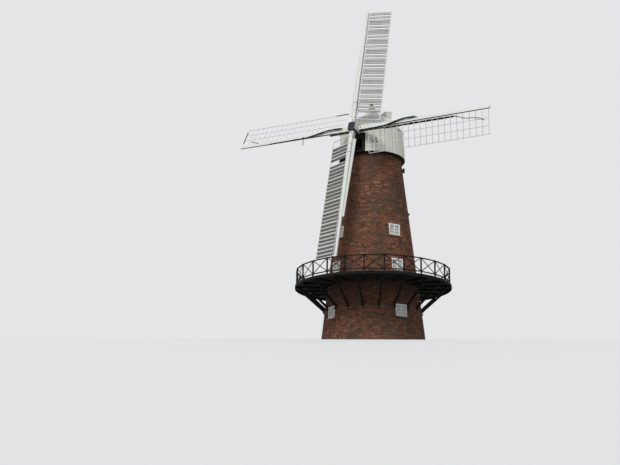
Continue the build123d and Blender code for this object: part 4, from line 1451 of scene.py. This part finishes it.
@dataclass
class SailTrim:
    """Shutter rods, cranks, rails and nuts on the sails."""

    rod_across: float = 0.186
    rod_height: float = -0.03
    rod_radius: float = 0.013
    rod_end: float = 0.1
    crank_half: float = 0.009
    crank_depth: float = 0.014
    crank_reach: float = 0.13
    nut_places: tuple[float, ...] = (1.3, 1.9, 2.1, 3.1, 4.6)
    nut_across: float = 0.07
    nut_radius: float = 0.022
    nut_height: float = 0.026
    nut_sunk: float = 0.003
    end_nut_place: float = 0.56
    end_nut_radius: float = 0.055
    shutters: int = 30
    missing: int = 4
    inner_stile: float = 0.24
    outer_stile: float = 2.0
    stile_width: float = 0.06
    shutter_width: float = 0.255
    shutter_open: float = 22.0
    rail_width: float = 0.085
    rail_low: float = 0.008
    rail_high: float = 0.05
    rail_short: float = 0.02
    rail_inset: float = 0.002
    bar_pitch: float = 0.495
    bar_end: float = 2.0
    bar_front: float = 0.02

    def shutter_places(self) -> list[float]:
        """Place of each shutter's middle along its sail."""
        pitch = (MILL.shuttered_end - MILL.shuttered_start) / self.shutters
        return [MILL.shuttered_start + pitch * (number + 0.5) for number in range(self.shutters)]

    def shutter_rods(self) -> None:
        """Adds the iron rod that opens each sail's shutters together, with a crank to each shutter."""
        piece = Piece("shutter_rods")
        ends = (MILL.shuttered_start + self.rod_end, MILL.shuttered_end - self.rod_end)
        for turn in (0.0, 180.0):
            frame = MILL.sail_frame(MILL.sail_turn + turn)
            path = [frame @ Vector((place, -self.rod_across, self.rod_height)) for place in ends]
            piece.tube(path, self.rod_radius)
            for place in self.shutter_places():
                self.crank(piece, frame, place)
        piece.make(Finishes.iron, Body.SAILS)

    def crank(self, piece: Piece, frame: Matrix, place: float) -> None:
        """Adds the crank from the rod over the inner stile to one shutter.

        Args:
            piece: the piece that takes it.
            frame: the sail's frame.
            place: the shutter's place along the sail.
        """
        drop = self.crank_reach * MILL.shutter_weather(place)
        near = (-self.rod_across, self.rod_height)
        far = (-self.rod_across - self.crank_reach, self.rod_height - drop)
        corners = []
        for lift in (-self.crank_depth / 2, self.crank_depth / 2):
            for side, (across, height) in ((1, near), (1, far), (-1, far), (-1, near)):
                corners.append(frame @ Vector((place + side * self.crank_half, across, height + lift)))
        piece.block(corners)

    def shutter_frame(self, place: float) -> Matrix:
        """Finds an open shutter's own frame within its sail.

        Args:
            place: the shutter's place along the sail.

        Returns:
            A matrix whose x runs to the trailing side and z out of the shutter's face.
        """
        cant = math.radians(self.shutter_open)
        middle = (self.inner_stile + self.outer_stile) / 2
        slope = math.atan(MILL.shutter_weather(place))
        trail = Vector((0, -math.cos(slope), -math.sin(slope)))
        front = Vector((0, -math.sin(slope), math.cos(slope)))
        normal = front * math.cos(cant) + RIGHT * math.sin(cant)
        origin = Vector((place, -middle, -middle * math.tan(slope)))
        return frame_from((trail, trail.cross(normal), normal), origin)

    def shutter_rails(self) -> None:
        """Adds the painted rail along the forward edge of each shutter."""
        piece = Piece("shutter_rails")
        for turn in (0.0, 180.0):
            frame = MILL.sail_frame(MILL.sail_turn + turn)
            for number, place in enumerate(self.shutter_places()):
                if turn and number == self.missing:
                    continue
                local = self.shutter_frame(place)
                slope = math.atan(MILL.shutter_weather(place))
                span = (self.outer_stile - self.inner_stile) / math.cos(slope)
                half = (span - self.stile_width) / 2 - self.rail_short
                side = -1 if local.col[1].x > 0 else 1
                far = side * (self.shutter_width / 2 - self.rail_inset)
                near = far - side * self.rail_width
                low = (-half, min(near, far), self.rail_low)
                piece.box(frame @ local, low, (half, max(near, far), self.rail_high))
        piece.make(Finishes.rail, Body.SAILS)

    def bar_bolts(self) -> None:
        """Adds the bolt at the end of each sail bar of the two open sails."""
        piece = Piece("bar_bolts")
        bars = round((MILL.cloth_end - MILL.cloth_start) / self.bar_pitch) + 1
        for turn in (90.0, 270.0):
            frame = MILL.sail_frame(MILL.sail_turn + turn, -MILL.pair_offset)
            for number in range(bars):
                place = MILL.cloth_start + self.bar_pitch * number
                height = self.bar_front - self.bar_end * MILL.cloth_weather(place)
                self.nut(piece, frame, (place, -self.bar_end, height), self.nut_radius)
        piece.make(Finishes.iron, Body.SAILS)

    def nut(self, piece: Piece, frame: Matrix, place: Triple, radius: float) -> None:
        """Adds one nut on the front of a whip."""
        ends = [Vector(place) + UP * lift for lift in (-self.nut_sunk, self.nut_height - self.nut_sunk)]
        piece.tube([frame @ end for end in ends], radius, NUT_SIDES)

    def nuts(self) -> None:
        """Adds the nuts along the whips, and the large dark one beyond the poll end."""
        painted = Piece("whip_nuts")
        dark = Piece("end_nuts")
        pairs = ((0.0, 0.0), (180.0, 0.0), (90.0, -MILL.pair_offset), (270.0, -MILL.pair_offset))
        for turn, offset in pairs:
            frame = MILL.sail_frame(MILL.sail_turn + turn, offset)
            for place in self.nut_places:
                for side in (-self.nut_across, self.nut_across):
                    front = MILL.whip_front(place, MILL.shuttered_reach)
                    self.nut(painted, frame, (place, side, front), self.nut_radius)
            front = MILL.whip_front(self.end_nut_place, MILL.shuttered_reach)
            self.nut(dark, frame, (self.end_nut_place, 0.0, front), self.end_nut_radius)
        painted.make(Finishes.clamp, Body.SAILS)
        dark.make(Finishes.iron, Body.SAILS)

    def build(self) -> None:
        """Builds the sails' trim."""
        self.shutter_rods()
        self.shutter_rails()
        self.bar_bolts()
        self.nuts()


@dataclass
class FurledCloth:
    """One furled cloth: a sheet rolled up into a twisted rope, tied round at intervals.

    A taper is the share of the radius at an end and the length that it takes to grow by a whole radius. The
    swell is the depth, the rate and the start of a slow wave in the radius.
    """

    name: str
    node: str
    finish: Finish
    turn: float
    places: list[Vector]
    radius: float
    cut: Pair
    rests_on: tuple[str, ...]
    laps: float = 6.0
    lap_steps: int = 15
    step: float = 0.045
    twists: float = 1.4
    core: float = 0.2
    ease: float = 0.22
    look: float = 0.05
    start_taper: Pair = (0.4, 0.35)
    end_taper: Pair = (0.3, 0.5)
    swell: Triple = (0.05, 3.1, 0.6)
    ridge_depth: float = 0.08
    ridge_turn: float = 5.0
    tie_pitch: float = 0.85
    tie_draw: float = 0.2
    tie_zone: float = 0.2
    tie_radius: float = 0.007
    tie_bite: float = 0.6
    tie_steps: int = 20
    tie_sides: int = 6

    def frame(self) -> Matrix:
        """The frame of the sail that carries the cloth."""
        return MILL.sail_frame(self.turn, -MILL.pair_offset)

    def length(self) -> float:
        """Length of the roll's centre line."""
        return sum((after - before).length for before, after in zip(self.places, self.places[1:]))

    def on_line(self, distance: float) -> Vector:
        """Finds a point along the bent centre line.

        Args:
            distance: how far along the line it is.

        Returns:
            The point.
        """
        left = distance
        for before, after in zip(self.places, self.places[1:]):
            run = (after - before).length
            if left <= run or after == self.places[-1]:
                return before.lerp(after, left / run)
            left -= run
        return self.places[-1]

    def spine(self, distance: float) -> tuple[Vector, Vector, Vector]:
        """Finds the roll's centre and its cross section's axes, with its bends eased.

        Args:
            distance: how far along the line it is.

        Returns:
            The centre, the side and the lift.
        """
        reach = min(self.ease, distance, self.length() - distance)
        around = [self.on_line(distance + reach * share) for share in (-1, -0.5, 0, 0.5, 1)]
        center = sum(around, Vector()) / len(around)
        after = self.on_line(min(distance + self.look, self.length()))
        heading = (after - self.on_line(max(distance - self.look, 0))).normalized()
        side = heading.cross(UP).normalized()
        return center, side, side.cross(heading)

    def size(self, distance: float) -> float:
        """Finds the roll's radius: thin at the ends and drawn in at each tie.

        Args:
            distance: how far along the line it is.

        Returns:
            The radius.
        """
        (start, start_length), (end, end_length) = self.start_taper, self.end_taper
        left = self.length() - distance
        ends = min(1.0, start + distance / start_length, end + left / end_length)
        tie = abs((distance / self.tie_pitch) % 1 - 0.5) * 2
        drawn = 1 - self.tie_draw * max(0.0, tie - (1 - self.tie_zone)) / self.tie_zone
        depth, rate, phase = self.swell
        swell = 1 - depth + depth * math.sin(rate * distance + phase)
        return self.radius * ends * drawn * swell

    def roll(self) -> bpy.types.Object:
        """Builds the rolled sheet.

        Returns:
            The sheet's object.
        """
        frame = self.frame()
        count = round(self.length() / self.step)
        width = round(self.laps * self.lap_steps) + 1
        points = []
        for number in range(count + 1):
            distance = self.length() * number / count
            center, side, lift = self.spine(distance)
            radius = self.size(distance)
            for lap in range(width):
                share = lap / (width - 1)
                angle = TAU * (self.laps * share + self.twists * distance)
                wave = 1 + math.sin(2 * angle + self.ridge_turn * distance)
                ridge = 1 - self.ridge_depth * share * wave
                reach = radius * (self.core + (1 - self.core) * share) * ridge
                offset = side * (math.cos(angle) * reach) + lift * (math.sin(angle) * reach)
                points.append(frame @ (center + offset))
        first = np.arange(count)[:, None] * width + np.arange(width - 1)[None, :]
        faces = np.stack([first, first + 1, first + 1 + width, first + width], axis=-1).reshape(-1, 4)
        piece = Piece(self.name)
        piece.add(points, faces)
        return piece.make(self.finish, Body.SAILS, smooth=True)

    def ties(self) -> None:
        """Binds the roll with a turn of rope at each tie."""
        frame = self.frame()
        piece = Piece(f"{self.name}_ties")
        for number in range(1, int(self.length() / self.tie_pitch) + 1):
            distance = self.tie_pitch * number
            center, side, lift = self.spine(distance)
            radius = self.size(distance) + self.tie_radius * self.tie_bite
            ring = []
            for step in range(self.tie_steps + 1):
                angle = TAU * step / self.tie_steps
                offset = side * (math.cos(angle) * radius) + lift * (math.sin(angle) * radius)
                ring.append(frame @ (center + offset))
            piece.tube(ring, self.tie_radius, self.tie_sides)
        piece.make(Finishes.rope, Body.SAILS, smooth=True)

    def build(self) -> None:
        """Builds the cloth and its ties in place of the plain solid."""
        cloth = self.roll()
        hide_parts(self.node)
        self.ties()


@dataclass
class Cloths:
    """The furled cloths of the two open sails, and their lines.

    Places are given along and across the sail.
    """

    crossing_radius: float = 0.07
    roll_radius: float = 0.1
    slack: float = 0.97
    roll_across: float = 0.25
    bar_depth: float = 0.035
    left_places: tuple[Pair, ...] = ((1.0, -0.14), (2.33, -0.17), (4.4, 0.19), (8.3, 0.2))
    right_places: tuple[Pair, ...] = ((1.2, -0.3), (2.7, -0.23), (4.3, 0.17), (5.5, 0.15))
    roll_ends: Pair = (2.45, 8.55)
    line_lift: float = 0.045
    heel_line: tuple[Pair, ...] = ((1.15, -2.0), (2.3, -2.0))
    end_line: tuple[Pair, ...] = ((11.1, -0.45), (11.1, -1.75))
    left_line: tuple[Pair, ...] = ((9.3, -0.1), (10.3, -0.5))
    right_line: tuple[Pair, ...] = ((8.55, -0.3), (9.25, -0.57), (10.3, -0.7), (10.8, -0.95))
    line_radius: float = 0.028
    tail_place: float = 4.75
    tail_radius: float = 0.028
    tail_across: tuple[float, ...] = (0.08, 0.13, 0.22, 0.31, 0.78)
    tail_rise: float = 0.03
    tail_sink: float = 0.04

    def across_front(self, places: tuple[Pair, ...]) -> list[Vector]:
        """Draws the centre line of a cloth that lies on the front of the clamps and the whip.

        Args:
            places: where it bends, along and across the sail.

        Returns:
            The line's points in the sail's frame.
        """
        line = []
        for place, across in places:
            clamped = place < MILL.clamps_end
            front = MILL.clamp_front if clamped else MILL.whip_front(place, MILL.cloth_reach)
            line.append(Vector((place, across, front + self.crossing_radius + MILL.seat)))
        return line

    def behind_bars(self) -> list[Vector]:
        """Draws the centre line of the cloth that is tied behind the sail bars.

        Returns:
            The line's points in the sail's frame.
        """
        line = []
        for place in self.roll_ends:
            slope = MILL.cloth_weather(place)
            reach = (self.bar_depth / 2 + self.roll_radius + MILL.seat) / math.hypot(1, slope)
            across = slope * reach - self.roll_across
            line.append(Vector((place, across, -self.roll_across * slope - reach)))
        return line

    def line(self, name: str, turn: float, places: tuple[Pair, ...]) -> None:
        """Adds a line that is drawn tight over the front of the lattice.

        Args:
            name: the piece's name.
            turn: the sail's turn.
            places: where it is made fast, along and across the sail.
        """
        frame = MILL.sail_frame(turn, -MILL.pair_offset)
        path = []
        for place, across in places:
            path.append(frame @ Vector((place, across, across * MILL.cloth_weather(place) + self.line_lift)))
        piece = Piece(name)
        piece.tube(path, self.line_radius)
        piece.make(Finishes.brown_cloth, Body.SAILS, smooth=True)

    def tail(self, turn: float) -> None:
        """Adds the loose end of a tie that hangs below a whip.

        Args:
            turn: the sail's turn.
        """
        frame = MILL.sail_frame(turn, -MILL.pair_offset)
        front = MILL.whip_front(self.tail_place, MILL.cloth_reach)
        top = front + 2 * self.crossing_radius + self.tail_radius
        heights = (front + self.tail_rise, top, top, front, front - self.tail_sink)
        piece = Piece("left_tie_tail")
        path = [frame @ Vector((self.tail_place, *stop)) for stop in zip(self.tail_across, heights)]
        piece.tube(path, self.tail_radius)
        piece.make(Finishes.brown_cloth, Body.SAILS, smooth=True)

    def build(self) -> None:
        """Builds the three furled cloths, the tail and the lines."""
        left, right = MILL.sail_turn + 270, MILL.sail_turn + 90
        FurledCloth(
            name="left_green_cloth",
            node="left_cloth",
            # The left cloth takes the green sailcloth darkened with painted shade.
            finish=Finishes.shaded_green_cloth,
            turn=left,
            places=self.across_front(self.left_places),
            radius=self.crossing_radius * self.slack,
            cut=(1.3, 7.3),
            rests_on=("cloth_whips", "stock_clamps"),
        ).build()
        FurledCloth(
            name="right_green_cloth",
            node="right_cloth",
            finish=Finishes.green_cloth,
            turn=right,
            places=self.across_front(self.right_places),
            radius=self.crossing_radius * self.slack,
            cut=(1.3, 4.35),
            rests_on=("cloth_whips",),
        ).build()
        FurledCloth(
            name="right_brown_cloth",
            node="right_roll",
            finish=Finishes.brown_cloth,
            turn=right,
            places=self.behind_bars(),
            radius=self.roll_radius * self.slack,
            cut=(1.9, 6.1),
            rests_on=("right_lattice",),
        ).build()
        self.tail(left)
        self.line("left_heel_line", left, self.heel_line)
        self.line("left_end_line", left, self.end_line)
        self.line("left_tip_line", left, self.left_line)
        self.line("right_tip_line", right, self.right_line)


@dataclass
class FanTrim:
    """The battens on the fan's blades."""

    center: Triple = (0.0, 3.1, 19.7)
    blades: int = 6
    turn: float = 1.0
    pitch: float = 55.0
    start: float = 0.42
    radius: float = 1.4
    root_width: float = 0.56
    tip_width: float = 0.76
    arm: float = 0.06
    blade: float = 0.02
    batten: float = 0.035
    batten_shares: Triple = (0.04, 0.5, 0.955)
    batten_inset: float = 0.02
    batten_depth: float = 0.015
    sunk: float = 0.001

    def blade_frame(self, number: int) -> Matrix:
        """Finds the frame of one blade.

        Args:
            number: which blade it is.

        Returns:
            A matrix whose x runs out along the arm, y across the blade and z out of its front.
        """
        angle = math.radians(self.turn + 360.0 / self.blades * number)
        pitch = math.radians(self.pitch)
        out = Vector((0, math.sin(angle), math.cos(angle)))
        front = RIGHT * math.cos(pitch) + RIGHT.cross(out) * math.sin(pitch)
        return frame_from((out, front.cross(out), front), Vector(self.center))

    def build(self) -> None:
        """Builds three battens across each blade."""
        piece = Piece("fan_battens")
        front = self.arm / 2 + self.blade
        for number in range(self.blades):
            frame = self.blade_frame(number)
            for share in self.batten_shares:
                place = self.start + (self.radius - self.start - self.batten) * share
                width = self.root_width + (self.tip_width - self.root_width) * share
                half = width / 2 - self.batten_inset
                high = (place + self.batten, half, front + self.batten_depth)
                piece.box(frame, (place, -half, front - self.sunk), high)
        piece.make(Finishes.fan, Body.FAN)


@dataclass
class Studio:
    """The camera, the light and the pale ground."""

    focal: float = 815.1
    frame_width: float = 620.0
    sensor: float = 36.0
    azimuth: float = 26.26
    distance: float = 63.779
    eye: float = -8.203
    pitch: float = 0.2681
    roll: float = 0.0144
    yaw: float = 0.0793
    farthest: float = 2000.0
    sun_energy: float = 2.55
    sun_size: float = 28.0
    sun_heading: Triple = (-0.05, 0.66, -0.95)
    sky: Colour = (0.93, 0.96, 1.0)
    sky_light: float = 0.58
    backdrop: Colour = (0.776, 0.785, 0.80)
    ground_pale: Colour = (0.58, 0.585, 0.585)
    ground_bounce: Colour = (0.07, 0.07, 0.06)
    ground_roughness: float = 0.95
    ground_half: float = 700.0
    ground_line: tuple[Pair, ...] = (
        (-700.0, -0.002),
        (4.6, -0.002),
        (7.0, -0.3),
        (12.0, -1.25),
        (30.0, -5.0),
        (64.0, -12.0),
        (240.0, -48.0),
    )

    def camera(self) -> None:
        """Places the camera where the photograph was taken from."""
        data = bpy.data.cameras.new("camera")
        data.sensor_width = self.sensor
        data.lens = self.focal * self.sensor / self.frame_width
        data.clip_end = self.farthest
        made = bpy.data.objects.new("camera", data)
        bpy.context.scene.collection.objects.link(made)
        level = math.cos(self.pitch)
        forward = Vector((-math.sin(self.yaw) * level, math.cos(self.yaw) * level, math.sin(self.pitch)))
        right = Vector((math.cos(self.yaw), math.sin(self.yaw), 0))
        above = right.cross(forward)
        side = right * math.cos(self.roll) + above * math.sin(self.roll)
        top = above * math.cos(self.roll) - right * math.sin(self.roll)
        pose = frame_from((side, top, -forward), Vector((0, -self.distance, self.eye)))
        made.matrix_world = Matrix.Rotation(math.radians(self.azimuth), 4, "Z") @ pose
        bpy.context.scene.camera = made

    def light(self) -> None:
        """Adds a soft sun, high on the left of the camera."""
        data = bpy.data.lights.new("sun", "SUN")
        data.energy = self.sun_energy
        data.angle = math.radians(self.sun_size)
        made = bpy.data.objects.new("sun", data)
        bpy.context.scene.collection.objects.link(made)
        made.rotation_mode = "QUATERNION"
        made.rotation_quaternion = Vector(self.sun_heading).to_track_quat("-Z", "Y")

    def seen(self, shader: Shader) -> Value:
        """Tells what is looked at from what only lights other surfaces.

        Args:
            shader: the tree that takes the nodes.

        Returns:
            1 for what the eye, a gloss or a pane sees, and 0 for the light that surfaces pass on.
        """
        flags = ("Is Camera Ray", "Is Glossy Ray", "Is Transmission Ray")
        eye, gloss, pane = (shader.node("ShaderNodeLightPath", {}, {}, flag) for flag in flags)
        return 1 - (1 - eye) * (1 - gloss) * (1 - pane)

    def world(self) -> None:
        """Shows the backdrop to the eye and to glass, and a plain sky to the rest."""
        world = bpy.data.worlds.new("sky")
        bpy.context.scene.world = world
        world.use_nodes = True
        shader = Shader(world.node_tree)
        sky = shader.node("ShaderNodeBackground", {}, {"Color": self.sky, "Strength": self.sky_light})
        plain = shader.node("ShaderNodeBackground", {}, {"Color": self.backdrop})
        mixed = shader.node("ShaderNodeMixShader", {}, {0: self.seen(shader), 1: sky, 2: plain})
        shader.add("ShaderNodeOutputWorld", {}, {"Surface": mixed})

    def ground(self) -> None:
        """Adds the pale ground: level round the mill, then falling away towards the camera."""
        near, side = outward(self.azimuth), along(self.azimuth)
        points = []
        for distance, height in self.ground_line:
            for across in (-self.ground_half, self.ground_half):
                points.append(near * distance + side * across + UP * height)
        faces = [(row + 2, row + 3, row + 1, row) for row in range(0, len(points) - 2, 2)]
        mesh = bpy.data.meshes.new("ground")
        mesh.from_pydata([tuple(point) for point in points], [], faces)
        mesh.shade_smooth()
        surface = Surface("pale_ground")
        surface.set("Base Color", surface.mix(self.seen(surface), self.ground_bounce, self.ground_pale))
        surface.set("Roughness", self.ground_roughness)
        mesh.materials.append(surface.material)
        made = bpy.data.objects.new("ground", mesh)
        bpy.context.scene.collection.objects.link(made)

    def build(self) -> None:
        """Builds the studio."""
        self.camera()
        self.light()
        self.world()
        self.ground()
        bpy.context.scene.view_settings.view_transform = "Standard"


def plain(box: tuple) -> list[list[float]]:
    """A box as plain lists of numbers."""
    return [[float(value) for value in corner] for corner in box]


def main() -> None:
    """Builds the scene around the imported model."""
    logging.basicConfig(level=logging.INFO, format="%(message)s")
    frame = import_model()
    Studio().build()
    FrameFinishes(frame["nodes"]).dress()
    sub_assemblies = (
        Brickwork(),
        Windows(),
        Doors(),
        Stage(),
        WallLamps(),
        CapBoards(),
        SailTrim(),
        Cloths(),
        FanTrim(),
    )
    for part in sub_assemblies:
        part.build()
        LOG.info("%s built", type(part).__name__)


if __name__ == "__main__":
    main()
